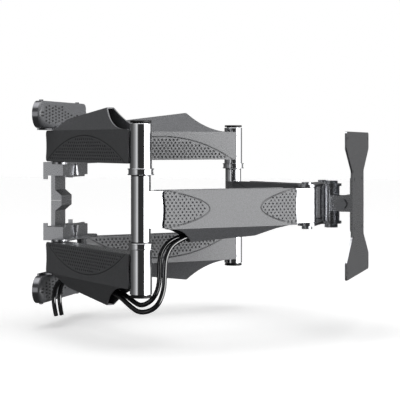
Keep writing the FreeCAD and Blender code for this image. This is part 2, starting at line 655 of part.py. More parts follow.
def swivel_block():
    """Barrel on the swivel bolt with a neck and a cross eye for the tilt bolt."""
    z0 = YOKE_BOTTOM_INNER + FACE_GAP
    z1 = YOKE_TOP_INNER - FACE_GAP
    barrel = rod(BARREL_RADIUS, z0, z1, SWIVEL.x, SWIVEL.y)
    half = TILT_EYE_WIDTH / 2
    eye = Part.makeCylinder(TILT_EYE_RADIUS, TILT_EYE_WIDTH, V(-half, TILT_Y, 0), X_AXIS)
    neck = box(-BARREL_RADIUS, BARREL_RADIUS, TILT_Y, SWIVEL.y, -TILT_EYE_RADIUS, TILT_EYE_RADIUS)
    shape = barrel.fuse([eye, neck]).removeSplitter()
    shape = shape.cut(rod(BOLT_RADIUS + RUNNING_GAP, z0, z1, SWIVEL.x, SWIVEL.y))
    bore = Part.makeCylinder(TILT_BOLT_RADIUS + RUNNING_GAP, TILT_EYE_WIDTH, V(-half, TILT_Y, 0), X_AXIS)
    return shape.cut(bore)


EAR_INNER = TILT_EYE_WIDTH / 2 + FACE_GAP
TILT_PLATE_BACK = TILT_Y - TILT_PLATE_OFFSET
TILT_PLATE_FRONT = TILT_PLATE_BACK - TILT_PLATE


def tilt_bracket():
    """Square plate with two ears folded back round the tilt eye."""
    half = TILT_PLATE_WIDTH / 2
    high = TILT_PLATE_HEIGHT / 2
    shape = box(-half, half, TILT_PLATE_FRONT, TILT_PLATE_BACK, -high, high)
    shape = rounded(shape, FACE_CORNER, Y_AXIS)
    for x in (-EAR_INNER - EAR_SHEET, EAR_INNER):
        shape = shape.fuse(box(x, x + EAR_SHEET, TILT_PLATE_BACK, TILT_Y, -TILT_EYE_RADIUS, TILT_EYE_RADIUS))
        shape = shape.fuse(Part.makeCylinder(TILT_EYE_RADIUS, EAR_SHEET, V(x, TILT_Y, 0), X_AXIS))
    shape = shape.removeSplitter()
    bolt = Part.makeCylinder(TILT_BOLT_RADIUS, 2 * half, V(-half, TILT_Y, 0), X_AXIS)
    pivot = Part.makeCylinder(LEVEL_STUD_RADIUS + RUNNING_GAP, TILT_PLATE, V(0, TILT_PLATE_FRONT, 0), Y_AXIS)
    swing = LEVEL_SLOT_AT * math.tan(math.radians(LEVEL_ANGLE)) + FACE_GAP
    width = LEVEL_STUD_RADIUS + FACE_GAP
    slots = [slot(2 * (swing + width), width, TILT_PLATE_FRONT, TILT_PLATE_BACK, 0, z)
             for z in (-LEVEL_SLOT_AT, LEVEL_SLOT_AT)]
    return shape.cut([bolt, pivot] + slots)


def tilt_bolt():
    """Bolt across both ears with a hexagon head at one end."""
    start = -EAR_INNER - EAR_SHEET
    length = 2 * (EAR_INNER + EAR_SHEET) + KNOB_LENGTH
    shank = Part.makeCylinder(TILT_BOLT_RADIUS, length, V(start, TILT_Y, 0), X_AXIS)
    head = BOLT_HEAD_RATIO * TILT_BOLT_RADIUS
    corners = []
    for k in range(6):
        turn = math.radians(60 * k)
        corners.append((TILT_Y + head * math.cos(turn), head * math.sin(turn)))
    return shank.fuse(section_prism(corners, start - TILT_BOLT_RADIUS, start)).removeSplitter()


def tilt_knob():
    """Lobed hand knob on the tilt bolt's thread."""
    start = EAR_INNER + EAR_SHEET
    shape = Part.makeCylinder(KNOB_RADIUS, KNOB_LENGTH, V(start, TILT_Y, 0), X_AXIS)
    grooves = [Part.makeCylinder(TILT_BOLT_RADIUS, KNOB_LENGTH, V(start, TILT_Y, 0), X_AXIS)]
    for k in range(KNOB_LOBES):
        turn = 2 * math.pi * k / KNOB_LOBES
        y = TILT_Y + KNOB_GROOVE_AT * math.cos(turn)
        z = KNOB_GROOVE_AT * math.sin(turn)
        grooves.append(Part.makeCylinder(KNOB_GROOVE_RADIUS, KNOB_LENGTH, V(start, y, z), X_AXIS))
    return shape.cut(grooves)


VESA_BACK = TILT_PLATE_FRONT - FACE_GAP
VESA_FRONT = VESA_BACK - VESA_PLATE


def vesa_plate():
    """Television plate with a waist at mid-height and three square hole patterns."""
    half = VESA_LARGE / 2 + VESA_MARGIN
    waist = VESA_WAIST / 2
    rise = VESA_WAIST_HALF_HEIGHT
    wide = rise + VESA_SLOPE_RISE
    quarter = [(half, half), (half, wide), (waist, rise)]
    right = quarter + [(x, -z) for x, z in quarter[::-1]]
    outline = right + [(-x, -z) for x, z in right]
    wire = Part.makePolygon([V(x, VESA_FRONT, z) for x, z in outline + outline[:1]])
    shape = Part.Face(wire).extrude(V(0, VESA_PLATE, 0))
    shape = rounded(shape, FACE_CORNER, Y_AXIS)
    cuts = []
    for size in (VESA_LARGE, VESA_MIDDLE, VESA_SMALL):
        for x in (-size / 2, size / 2):
            for z in (-size / 2, size / 2):
                cuts.append(Part.makeCylinder(VESA_HOLE_RADIUS, VESA_PLATE, V(x, VESA_FRONT, z), Y_AXIS))
    for z in (-LEVEL_SLOT_AT, 0, LEVEL_SLOT_AT):
        cuts.append(Part.makeCylinder(LEVEL_STUD_RADIUS, VESA_PLATE, V(0, VESA_FRONT, z), Y_AXIS))
    return shape.cut(cuts)


def level_studs():
    """Pivot stud and two clamping studs pressed into the television plate, with nuts behind the bracket."""
    length = TILT_PLATE_BACK - VESA_FRONT
    studs = [Part.makeCylinder(LEVEL_STUD_RADIUS, length, V(0, VESA_FRONT, 0), Y_AXIS)]
    for z in (-LEVEL_SLOT_AT, LEVEL_SLOT_AT):
        shank = Part.makeCylinder(LEVEL_STUD_RADIUS, length + FACE_GAP, V(0, VESA_FRONT, z), Y_AXIS)
        nut = Part.makeCylinder(LEVEL_NUT_RADIUS, LEVEL_NUT, V(0, TILT_PLATE_BACK + FACE_GAP, z), Y_AXIS)
        studs.append(shank.fuse(nut))
    return studs


# ---------------------------------------------------------------- cables

def cable(points):
    """A round cable along straight runs joined by tangent arcs, each as large as its runs allow."""
    edges = []
    last = points[0]
    radii = []
    for before, corner, after in zip(points, points[1:], points[2:]):
        back = (before - corner)
        ahead = (after - corner)
        run = min(back.Length, ahead.Length)
        turn = math.pi - back.getAngle(ahead)
        trim = CABLE_TRIM * run
        radius = trim / math.tan(turn / 2)
        radii.append(round(radius, 1))
        back.normalize()
        ahead.normalize()
        start = corner + back * trim
        end = corner + ahead * trim
        towards = (back + ahead)
        towards.normalize()
        middle = corner + towards * (radius / math.cos(turn / 2) - radius)
        edges.append(Part.makeLine(last, start))
        edges.append(Part.Arc(start, middle, end).toShape())
        last = end
    edges.append(Part.makeLine(last, points[-1]))
    wire = Part.Wire(edges)
    direction = points[1] - points[0]
    circle = Part.Wire([Part.makeCircle(CABLE_RADIUS, points[0], direction)])
    solid = wire.makePipeShell([circle], True, False)
    area = math.pi * CABLE_RADIUS ** 2
    print("cable radii", radii, "length", round(wire.Length, 1), "volume ratio",
          round(solid.Volume / (area * wire.Length), 4))
    return solid


def left_arm_point(along, across, z):
    """A point beside the left first arm: distance from the shoulder, sideways towards the room, height."""
    turn = math.radians(ARM_ANGLE)
    x = -SHOULDER_X - along * math.cos(turn) + across * math.sin(turn)
    y = -SHOULDER_Y - along * math.sin(turn) - across * math.cos(turn)
    return V(x, y, z)


def left_forearm_point(along, across, z):
    """A point beside the left forearm: distance from the elbow, sideways towards the wall, height."""
    turn = math.radians(ARM_ANGLE)
    x = -ELBOW.x + along * math.cos(turn) + across * math.sin(turn)
    y = ELBOW.y - along * math.sin(turn) + across * math.cos(turn)
    return V(x, y, z)


def held_cable(across):
    """The straight stretch of a cable inside the lower left arm's cover."""
    return cable_run(left_arm_point(CABLE_START, across, CABLE_START_Z),
                     left_arm_point(CABLE_END, across, CABLE_END_Z))


def cable_run(start, end):
    """A straight piece of cable."""
    return Part.makeCylinder(CABLE_RADIUS, (end - start).Length, start, end - start)


def cable_clip(along):
    """Saddle under the lower left arm that holds both cables."""
    share = (along - CABLE_START) / (CABLE_END - CABLE_START)
    z = CABLE_START_Z + share * (CABLE_END_Z - CABLE_START_Z)
    block = box(along - CLIP_THICKNESS / 2, along + CLIP_THICKNESS / 2, -CLIP_WIDTH / 2, CLIP_WIDTH / 2,
                z - CABLE_RADIUS - CLIP_LIP, -ARM_TOP)
    placed = mirrored(on_arm(block))
    for across in (-CABLE_SPREAD, CABLE_SPREAD):
        start = left_arm_point(CABLE_START, across, CABLE_START_Z)
        end = left_arm_point(CABLE_END, across, CABLE_END_Z)
        way = end - start
        placed = placed.cut(Part.makeCylinder(CABLE_RADIUS + RUNNING_GAP, way.Length, start, way))
    return placed


# Routes of the free stretches, chosen by hand, between their two fixed ends
LOOP_OUTER = [V(-234.5, -189.0, -129.0), V(-251.5, -207.0, -138.5), V(-265.0, -228.0, -148.5),
              V(-266.0, -252.5, -140.5), V(-257.0, -261.0, -117.5), V(-250.5, -260.0, -92.0),
              V(-247.0, -260.5, -67.0), V(-236.0, -271.5, -46.5)]
LOOP_INNER = [V(-228.5, -195.5, -127.5), V(-242.5, -210.0, -133.5), V(-256.0, -227.5, -139.5),
              V(-259.0, -247.0, -128.0), V(-252.5, -253.5, -106.0), V(-247.0, -250.5, -81.0),
              V(-242.0, -253.0, -58.5), V(-230.0, -267.5, -42.0)]
LOOP_END_OUTER = left_forearm_point(86.5, -3.9, -38.0)
LOOP_END_INNER = left_forearm_point(88.5, 4.0, -37.5)
TAIL_OUTER = [left_arm_point(41, -6, -116), left_arm_point(24, -8.5, -121), left_arm_point(9.5, -11, -131.5),
              left_arm_point(2, -12, -148), left_arm_point(3.5, -12, -164.5), left_arm_point(12, -12, -178.5)]
TAIL_INNER = [left_arm_point(43, 3, -116), left_arm_point(28, 1.5, -118.5), left_arm_point(13.5, -0.5, -125),
              left_arm_point(4, -1.5, -137.5), left_arm_point(1.5, -2, -152), left_arm_point(4.5, -2, -166.5),
              left_arm_point(10.5, -2, -178)]


def free_loop(across, route, end):
    """A loop past the elbow: from the held cable's end to its place in the forearm's cover."""
    return cable([left_arm_point(CABLE_END, across, CABLE_END_Z)] + route + [end])


def free_tail(across, route):
    """A tail that hangs out of the cover beside the shoulder."""
    return cable([left_arm_point(CABLE_START, across, CABLE_START_Z)] + route)


def main():
    """Builds every node and writes it to parts."""
    save_levels("rail", rail())
    save_levels("rail_trim", rail_trim())
    save_levels("rail_cover", rail_cover())
    save("rail_cover_tabs", *cover_tabs())
    save_levels("web", centre_web())
    save_levels("hinge_beam", hinge_beam())
    sides = (-SHOULDER_X, SHOULDER_X)
    pins = [shoulder_pin(x) for x in sides]
    save("shoulder_pins", *pins, *[flipped(pin) for pin in pins])
    spacers = [shoulder_spacer(x) for x in sides]
    save("shoulder_spacers", *spacers, *[flipped(spacer) for spacer in spacers])

    save_corners("arm", on_arm(arm_steel()))
    save_corners("arm_cover", on_arm(arm_cover()))
    shoulder = [on_arm(bush(PIN_RADIUS, BUSH_WALL, ARM_TOP, True, BUSH_FLANGE_RADIUS)),
                on_arm(bush(PIN_RADIUS, BUSH_WALL, ARM_BOTTOM, False, BUSH_FLANGE_RADIUS))]
    group = Part.makeCompound(shoulder + [flipped(part) for part in shoulder])
    save_pair("shoulder_bushes", group)

    elbow_x, elbow_y = ELBOW.x, ELBOW.y
    sleeve = tube(SLEEVE_RADIUS, POLE_RADIUS, RING_TOP, SLEEVE_TOP, elbow_x, elbow_y)
    save_corners("sleeve", sleeve)
    ring = collar_ring()
    ring.translate(ELBOW)
    save_pair("collar_rings", Part.makeCompound([ring, flipped(ring)]))
    save_pair("elbow_pole", rod(POLE_RADIUS, -SLEEVE_TOP, SLEEVE_TOP, elbow_x, elbow_y))
    cap = end_cap()
    cap.translate(ELBOW)
    save_pair("end_caps", Part.makeCompound([cap, flipped(cap)]))

    save_pair("forearm_tube", tube(TUBE_RADIUS, TUBE_BORE, -TUBE_HALF, TUBE_HALF, elbow_x, elbow_y))
    save_pair("forearm", on_forearm(forearm_steel()))
    save_pair("forearm_cover", on_forearm(forearm_cover()))
    elbow_bush = bush(POLE_RADIUS, ELBOW_BUSH_WALL, TUBE_HALF, True, TUBE_RADIUS)
    elbow_bush.translate(ELBOW)
    save_pair("elbow_bushes", Part.makeCompound([elbow_bush, flipped(elbow_bush)]))
    for side, gap in (("right", OPEN_PIVOT_GAP), ("left", RUNNING_GAP)):
        bushes = [bush(HEAD_PIN_RADIUS, BUSH_WALL, FOREARM_TOP, True, BUSH_FLANGE_RADIUS, gap),
                  bush(HEAD_PIN_RADIUS, BUSH_WALL, FOREARM_BOTTOM, False, BUSH_FLANGE_RADIUS, gap)]
        x = HEAD.x if side == "right" else -HEAD.x
        for part in bushes:
            part.translate(V(x, HEAD.y, 0))
        save("head_bushes_" + side, *bushes)

    save("head_yoke", head_yoke())
    head_pins = [through_bolt(HEAD_PIN_RADIUS, HEAD_PIN_HEAD_RADIUS, x, HEAD.y) for x in (-HEAD.x, HEAD.x)]
    save("head_pins", *head_pins)
    save("swivel_bolt", through_bolt(BOLT_RADIUS, BOLT_HEAD_RATIO * BOLT_RADIUS, SWIVEL.x, SWIVEL.y))
    save("swivel_block", swivel_block())
    save("tilt_bracket", tilt_bracket())
    save("tilt_bolt", tilt_bolt())
    save("tilt_knob", tilt_knob())
    save("vesa_plate", vesa_plate())
    save("level_studs", *level_studs())

    save("held_cables", held_cable(-CABLE_SPREAD), held_cable(CABLE_SPREAD))
    save("cable_clips", *[cable_clip(along) for along in CLIPS_AT])
    save("cable_loop_outer", free_loop(-CABLE_SPREAD, LOOP_OUTER, LOOP_END_OUTER))
    save("cable_loop_inner", free_loop(CABLE_SPREAD, LOOP_INNER, LOOP_END_INNER))
    save("cable_tail_outer", free_tail(-CABLE_SPREAD, TAIL_OUTER))
    save("cable_tail_inner", free_tail(CABLE_SPREAD, TAIL_INNER))


main()
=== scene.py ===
"""A full motion wall mount for a flat screen: two wall rails, six folding arms on chrome elbow poles, and a
head.

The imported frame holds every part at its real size, in metres. This script gives each part its finish, and
makes the moulded covers, the turned chrome and the cables as finer surfaces that stand for the frame's
plain ones."""

import json
import math

import bpy
import numpy as np
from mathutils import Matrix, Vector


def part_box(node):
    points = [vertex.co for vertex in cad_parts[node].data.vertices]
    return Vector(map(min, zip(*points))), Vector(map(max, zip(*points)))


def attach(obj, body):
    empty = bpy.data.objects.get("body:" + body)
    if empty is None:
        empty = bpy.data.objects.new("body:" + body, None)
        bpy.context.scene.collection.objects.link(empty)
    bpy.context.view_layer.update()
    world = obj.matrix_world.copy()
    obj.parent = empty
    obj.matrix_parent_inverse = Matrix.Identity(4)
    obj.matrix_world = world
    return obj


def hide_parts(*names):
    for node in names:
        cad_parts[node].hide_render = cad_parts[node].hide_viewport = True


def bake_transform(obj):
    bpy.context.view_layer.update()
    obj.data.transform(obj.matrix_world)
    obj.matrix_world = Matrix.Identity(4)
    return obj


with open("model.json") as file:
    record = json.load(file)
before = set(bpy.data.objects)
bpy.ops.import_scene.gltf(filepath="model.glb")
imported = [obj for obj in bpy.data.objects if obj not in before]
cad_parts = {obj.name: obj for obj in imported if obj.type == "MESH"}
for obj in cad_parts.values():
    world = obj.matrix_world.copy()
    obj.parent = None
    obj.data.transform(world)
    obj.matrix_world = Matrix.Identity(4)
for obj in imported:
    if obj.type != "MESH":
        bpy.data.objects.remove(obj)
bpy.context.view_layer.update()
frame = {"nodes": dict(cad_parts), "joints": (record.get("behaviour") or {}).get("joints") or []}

# ---------------------------------------------------------------- camera
# A long lens stands a little over two metres to the left of the mount, 92 mm above its middle, and looks
# level along the wall with the screen side to the right.
camera_data = bpy.data.cameras.new("studio_camera")
camera_data.sensor_width = 36.0
camera_data.lens = 125.74
camera_data.shift_y = -0.1415
camera = bpy.data.objects.new("studio_camera", camera_data)
camera.location = (-2.1497, -0.8266, 0.0924)
camera.rotation_euler = (math.radians(90), 0, math.radians(-74.84))
bpy.context.collection.objects.link(camera)
bpy.context.scene.camera = camera
bpy.context.scene.view_settings.view_transform = "Standard"

# ---------------------------------------------------------------- cables
# Two leads for the screen, limp and 7 mm thick, in a smooth black PVC sheath. They come out of the lower left
# arm's mouth, loop under the elbow pole with slack for folding, and go up into the forearm's cover; at the
# shoulder their cut ends hang down beside the wall.
MM = 0.001
CABLE_DIAMETER = 7 * MM
ARM_ANGLE = math.radians(44.3)
joints = {joint["name"]: np.array(joint["pos_m"]) for joint in frame["joints"]}
ALONG = np.array([math.cos(ARM_ANGLE), -math.sin(ARM_ANGLE), 0.0])
ACROSS = np.array([math.sin(ARM_ANGLE), math.cos(ARM_ANGLE), 0.0])
UP = np.array([0.0, 0.0, 1.0])
MIRROR = np.array([-1.0, 1.0, 1.0])


def left_arm_point(along, across, z):
    """Shoulder, plus the distance along the left arm, plus the distance towards the room, at a height; in
    mm."""
    point = joints["left_shoulder"] + MM * (along * ALONG * MIRROR + across * ACROSS * (1, -1, 1))
    return (point[0], point[1], z * MM)


def left_forearm_point(along, across, z):
    """Elbow, plus the distance along the left forearm, plus the distance towards the wall, at a height; in
    mm."""
    point = joints["left_elbow"] + MM * (along * ALONG + across * ACROSS)
    return (point[0], point[1], z * MM)


def linear(code):
    """An sRGB hex colour in linear light: below 0.04045 a twelfth, above it the 2.4 power of (c + 0.055) /
    1.055."""
    parts = [int(code[i:i + 2], 16) / 255 for i in (1, 3, 5)]
    return tuple(c / 12.92 if c <= 0.04045 else ((c + 0.055) / 1.055) ** 2.4 for c in parts) + (1.0,)


def add_node(tree, kind, sockets=None, **settings):
    """Adds a node; settings are its properties, and sockets its inputs, each a plain value or another's
    output."""
    node = tree.nodes.new(kind)
    for name, value in settings.items():
        setattr(node, name, value)
    for name, value in (sockets or {}).items():
        if isinstance(value, bpy.types.NodeSocket):
            tree.links.new(value, node.inputs[name])
        else:
            node.inputs[name].default_value = value
    return node


def new_material(name, **shader):
    """A material with one Principled shader; gives the material, its tree and the shader node."""
    material = bpy.data.materials.new(name)
    material.use_nodes = True
    tree = material.node_tree
    node = tree.nodes["Principled BSDF"]
    for socket, value in shader.items():
        node.inputs[socket.replace("_", " ")].default_value = value
    return material, tree, node


# PVC sheath: extruded, so the gloss is even, with a faint waviness a few millimetres long.
pvc_sheath, tree, shader = new_material("pvc_extruded_sheath", Roughness=0.13, IOR=1.53)
shader.inputs["Specular IOR Level"].default_value = 0.9
place = add_node(tree, "ShaderNodeTexCoord")
waves = add_node(tree, "ShaderNodeTexNoise", {"Vector": place.outputs["Object"], "Scale": 180.0,
                                              "Detail": 2.0})
tint = add_node(tree, "ShaderNodeMix", {"Factor": waves.outputs["Fac"], "A": linear("#0c0c0e"),
                                        "B": linear("#1b1b20")}, data_type="RGBA")
ripple = add_node(tree, "ShaderNodeBump", {"Height": waves.outputs["Fac"], "Strength": 0.15,
                                           "Distance": 0.3 * MM})
tree.links.new(tint.outputs[2], shader.inputs["Base Color"])
tree.links.new(ripple.outputs["Normal"], shader.inputs["Normal"])


def route_curve(name, points, radius):
    """A NURBS spline of order 3 with the route's points as its control points, round when it has a radius."""
    data = bpy.data.curves.new(name, "CURVE")
    data.dimensions = "3D"
    data.resolution_u = 10
    data.bevel_depth = radius
    data.bevel_resolution = 6
    data.use_fill_caps = True
    spline = data.splines.new("NURBS")
    spline.points.add(len(points) - 1)
    spline.points.foreach_set("co", np.c_[np.array(points), np.ones(len(points))].ravel())
    spline.order_u = 3
    spline.use_endpoint_u = True
    return bpy.data.objects.new(name, data)


def cable_piece(name, points):
    """The cable's round mesh and the line that it follows, both read from the route's spline."""
    line = bpy.data.meshes.new_from_object(route_curve(name + "_line", points, 0))
    path = np.array([vertex.co for vertex in line.vertices])
    mesh = bpy.data.meshes.new_from_object(route_curve(name + "_round", points, CABLE_DIAMETER / 2))
    mesh.materials.append(pvc_sheath)
    mesh.polygons.foreach_set("use_smooth", np.ones(len(mesh.polygons), bool))
    mesh.set_sharp_from_angle(angle=math.radians(50))
    piece = bpy.data.objects.new(name, mesh)
    bpy.context.collection.objects.link(piece)
    length = np.linalg.norm(np.diff(path, axis=0), axis=1).sum()
    return piece, path.tolist(), float(length)


def route(points):
    """Points in millimetres, in metres."""
    return [tuple(MM * value for value in point) for point in points]


loop_routes = {
    "cable_loop_outer": [left_arm_point(205, -4.5, -125.5)] + route([
        (-234.5, -189.0, -129.0), (-251.5, -207.0, -138.5), (-265.0, -228.0, -148.5), (-266.0, -252.5, -140.5),
        (-257.0, -261.0, -117.5), (-250.5, -260.0, -92.0), (-247.0, -260.5, -67.0), (-236.0, -271.5, -46.5),
    ]) + [left_forearm_point(86.5, -3.9, -38.0)],
    "cable_loop_inner": [left_arm_point(205, 4.5, -125.5)] + route([
        (-228.5, -195.5, -127.5), (-242.5, -210.0, -133.5), (-256.0, -227.5, -139.5), (-259.0, -247.0, -128.0),
        (-252.5, -253.5, -106.0), (-247.0, -250.5, -81.0), (-242.0, -253.0, -58.5), (-230.0, -267.5, -42.0),
    ]) + [left_forearm_point(88.5, 4.0, -37.5)],
}
tail_routes = {
    "cable_tail_outer": [
        left_arm_point(57, -4.5, -115.5), left_arm_point(41, -6, -116), left_arm_point(24, -8.5, -121),
        left_arm_point(9.5, -11, -131.5), left_arm_point(2, -12, -148), left_arm_point(3.5, -12, -164.5),
        left_arm_point(12, -12, -178.5),
    ],
    "cable_tail_inner": [
        left_arm_point(57, 4.5, -115.5), left_arm_point(43, 3, -116), left_arm_point(28, 1.5, -118.5),
        left_arm_point(13.5, -0.5, -125), left_arm_point(4, -1.5, -137.5), left_arm_point(1.5, -2, -152),
        left_arm_point(4.5, -2, -166.5), left_arm_point(10.5, -2, -178),
    ],
}
for node, points in loop_routes.items():
    loop, path, length = cable_piece(node + "_sheath", points)
    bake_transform(loop)
    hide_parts(node)
for node, points in tail_routes.items():
    tail, path, length = cable_piece(node + "_sheath", points)
    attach(tail, "left_arm")
    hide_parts(node)


def dress(material, *names):
    """Gives frame parts a finish in their own material slots."""
    for name in names:
        data = frame["nodes"][name].data
        data.materials.clear()
        data.materials.append(material)


dress(pvc_sheath, "held_cables")

# ---------------------------------------------------------------- wall rails, centre web and hinge beams
# Pressed steel: a strip bolted along the wall at the top and bottom, a channel between them, and a folded
# beam under each pair of shoulders. All are powder coated in a satin metallic grey, which mirrors bright
# and dark. Flake in the coat: a soft mirror, broken up by an orange peel about a millimetre across.
powder_coat, tree, shader = new_material("metallic_powder_coat", Metallic=1.0, Roughness=0.28)
place = add_node(tree, "ShaderNodeTexCoord")
peel = add_node(tree, "ShaderNodeTexNoise", {"Vector": place.outputs["Object"], "Scale": 900.0,
                                             "Detail": 2.0})
cloud = add_node(tree, "ShaderNodeTexNoise", {"Vector": place.outputs["Object"], "Scale": 30.0,
                                              "Detail": 3.0})
shade = add_node(tree, "ShaderNodeMix", {"Factor": cloud.outputs["Fac"], "A": linear("#b0b1b4"),
                                         "B": linear("#c0c1c4")}, data_type="RGBA")
rough = add_node(tree, "ShaderNodeMapRange", {"Value": peel.outputs["Fac"], "To Min": 0.22, "To Max": 0.34})
skin = add_node(tree, "ShaderNodeBump", {"Height": peel.outputs["Fac"], "Strength": 0.2,
                                         "Distance": 0.1 * MM})
tree.links.new(shade.outputs[2], shader.inputs["Base Color"])
tree.links.new(rough.outputs["Result"], shader.inputs["Roughness"])
tree.links.new(skin.outputs["Normal"], shader.inputs["Normal"])
dress(powder_coat, "upper_rail", "lower_rail", "upper_web", "lower_web", "upper_hinge_beam",
      "lower_hinge_beam", "upper_arm_left", "upper_arm_right", "lower_arm_left", "lower_arm_right",
      "forearm_left", "forearm_right", "head_yoke", "swivel_block", "tilt_bracket", "vesa_plate")

# ---------------------------------------------------------------- rail trims
# A frame of ABS with a dark smoked chrome plate, between the wall and each rail's cover, with small locating
# tabs on its outer edge. It mirrors the room in one bright band and is near black elsewhere.
gloss_trim, tree, shader = new_material("abs_smoked_chrome_plate", Metallic=0.85, Roughness=0.12)
place = add_node(tree, "ShaderNodeTexCoord")
smear = add_node(tree, "ShaderNodeTexNoise", {"Vector": place.outputs["Object"], "Scale": 60.0,
                                              "Detail": 4.0})
rough = add_node(tree, "ShaderNodeMapRange", {"Value": smear.outputs["Fac"], "To Min": 0.08, "To Max": 0.2})
shade = add_node(tree, "ShaderNodeMix", {"Factor": smear.outputs["Fac"], "A": linear("#8e8e92"),
                                         "B": linear("#9a9a9e")}, data_type="RGBA")
tree.links.new(shade.outputs[2], shader.inputs["Base Color"])
tree.links.new(rough.outputs["Result"], shader.inputs["Roughness"])
dress(gloss_trim, "upper_rail_trim", "lower_rail_trim", "rail_cover_tabs")

# ---------------------------------------------------------------- pins, bushes and bolts
# Turned steel pins and bolts with a thin bright zinc plate, in bushes of black nylon.
# Zinc over turning marks: a bright grey metal, streaked round the pin by rings about 0.4 mm apart.
zinc, tree, shader = new_material("zinc_plated_turned_steel", Metallic=1.0, Roughness=0.3)
place = add_node(tree, "ShaderNodeTexCoord")
turning = add_node(tree, "ShaderNodeMapping", {"Vector": place.outputs["Object"],
                                               "Scale": (60.0, 60.0, 2500.0)})
marks = add_node(tree, "ShaderNodeTexNoise", {"Vector": turning.outputs["Vector"], "Scale": 1.0,
                                              "Detail": 2.0})
shade = add_node(tree, "ShaderNodeMix", {"Factor": marks.outputs["Fac"], "A": linear("#9a9ca0"),
                                         "B": linear("#c3c5c9")}, data_type="RGBA")
rough = add_node(tree, "ShaderNodeMapRange", {"Value": marks.outputs["Fac"], "To Min": 0.22, "To Max": 0.4})
tree.links.new(shade.outputs[2], shader.inputs["Base Color"])
tree.links.new(rough.outputs["Result"], shader.inputs["Roughness"])
dress(zinc, "shoulder_pins", "shoulder_spacers", "elbow_pole_left", "elbow_pole_right", "head_pins",
      "swivel_bolt", "tilt_bolt", "level_studs")

# Nylon from a grained tool: matt black, with only broad soft highlights.
black_nylon, tree, shader = new_material("nylon_moulded_black", Roughness=0.5, IOR=1.53)
place = add_node(tree, "ShaderNodeTexCoord")
grain = add_node(tree, "ShaderNodeTexNoise", {"Vector": place.outputs["Object"], "Scale": 1500.0,
                                              "Detail": 2.0})
shade = add_node(tree, "ShaderNodeMix", {"Factor": grain.outputs["Fac"], "A": linear("#0f0f10"),
                                         "B": linear("#1d1d1f")}, data_type="RGBA")
skin = add_node(tree, "ShaderNodeBump", {"Height": grain.outputs["Fac"], "Strength": 0.25,
                                         "Distance": 0.1 * MM})
tree.links.new(shade.outputs[2], shader.inputs["Base Color"])
tree.links.new(skin.outputs["Normal"], shader.inputs["Normal"])
dress(black_nylon, "shoulder_bushes_left", "shoulder_bushes_right", "elbow_bushes_left", "elbow_bushes_right",
      "head_bushes_left", "head_bushes_right", "cable_clips", "tilt_knob", "end_caps_left", "end_caps_right")

# ---------------------------------------------------------------- elbow poles
# Steel tube, polished and chrome plated: a sleeve in each first arm, a middle tube in the forearm, and a
# thrust ring with a raised lip at each edge between them. Black caps close the ends. Chrome over polished
# steel: a clear mirror with a slight haze in patches about 20 mm wide.
chrome, tree, shader = new_material("chrome_plated_tube", Metallic=1.0, Roughness=0.07)
place = add_node(tree, "ShaderNodeTexCoord")
haze = add_node(tree, "ShaderNodeTexNoise", {"Vector": place.outputs["Object"], "Scale": 45.0, "Detail": 3.0})
rough = add_node(tree, "ShaderNodeMapRange", {"Value": haze.outputs["Fac"], "To Min": 0.05, "To Max": 0.12})
shade = add_node(tree, "ShaderNodeMix", {"Factor": haze.outputs["Fac"], "A": linear("#d4d5d8"),
                                         "B": linear("#e2e3e5")}, data_type="RGBA")
tree.links.new(shade.outputs[2], shader.inputs["Base Color"])
tree.links.new(rough.outputs["Result"], shader.inputs["Roughness"])


def grid_faces(index):
    """Four-sided faces between neighbours in a grid of vertex numbers."""
    corners = [index[:-1, :-1], index[1:, :-1], index[1:, 1:], index[:-1, 1:]]
    return np.stack(corners, -1).reshape(-1, 4)


def make_piece(name, points, faces, material, sharp=35.0, painted_shade=None):
    """A mesh object from arrays of points and faces, smooth except across edges sharper than an angle."""
    mesh = bpy.data.meshes.new(name)
    mesh.from_pydata(points.tolist(), [], faces)
    mesh.materials.append(material)
    mesh.polygons.foreach_set("use_smooth", np.ones(len(mesh.polygons), bool))
    mesh.set_sharp_from_angle(angle=math.radians(sharp))
    # An optional per-point share of painted shade is stored as a mesh attribute. It darkens the colour in
    # dimples and grooves.
    if painted_shade is not None:
        mesh.attributes.new("painted_shade", "FLOAT", "POINT").data.foreach_set("value", painted_shade.astype(np.float32))
    piece = bpy.data.objects.new(name, mesh)
    bpy.context.collection.objects.link(piece)
    return piece


def turned(name, profiles, centre, material, segments=96):
    """Closed profiles of radius and height, in mm, carried round a vertical axis: (r cos t, r sin t, z)."""
    points, faces, count = [], [], 0
    angle = np.linspace(0, 2 * math.pi, segments, endpoint=False)
    for profile in profiles:
        radius, height = MM * np.array(profile, float).T
        ring = np.stack([np.outer(radius, np.cos(angle)), np.outer(radius, np.sin(angle)),
                         np.outer(height, np.ones(segments))], -1)
        index = count + np.arange(ring[..., 0].size).reshape(ring.shape[:2])
        index = np.pad(index, ((0, 1), (0, 1)), mode="wrap")
        faces += grid_faces(index)[:, ::-1].tolist()
        points.append(ring.reshape(-1, 3) + (centre[0], centre[1], 0))
        count += ring[..., 0].size
    return make_piece(name, np.concatenate(points), faces, material)


def tube_profile(outer, bore, low, high, edge):
    """A tube's wall with its outer corners broken by an edge."""
    return [(bore, low), (outer - edge, low), (outer, low + edge), (outer, high - edge), (outer - edge, high),
            (bore, high)]


POLE, TUBE, SLEEVE, RING_BODY, RING_LIP = 9.0, 14.0, 15.7, 17.6, 18.7
BORE, TUBE_HALF, RING_LOW, RING_HIGH, SLEEVE_END = 11.5, 46.6, 47.9, 57.1, 120.2
LIP, EDGE = 1.3, 0.4
ring_profile = [(POLE, RING_LOW), (RING_LIP - EDGE, RING_LOW), (RING_LIP, RING_LOW + EDGE),
                (RING_LIP, RING_LOW + LIP), (RING_BODY, RING_LOW + LIP + EDGE),
                (RING_BODY, RING_HIGH - LIP - EDGE),
                (RING_LIP, RING_HIGH - LIP), (RING_LIP, RING_HIGH - EDGE), (RING_LIP - EDGE, RING_HIGH),
                (POLE, RING_HIGH)]


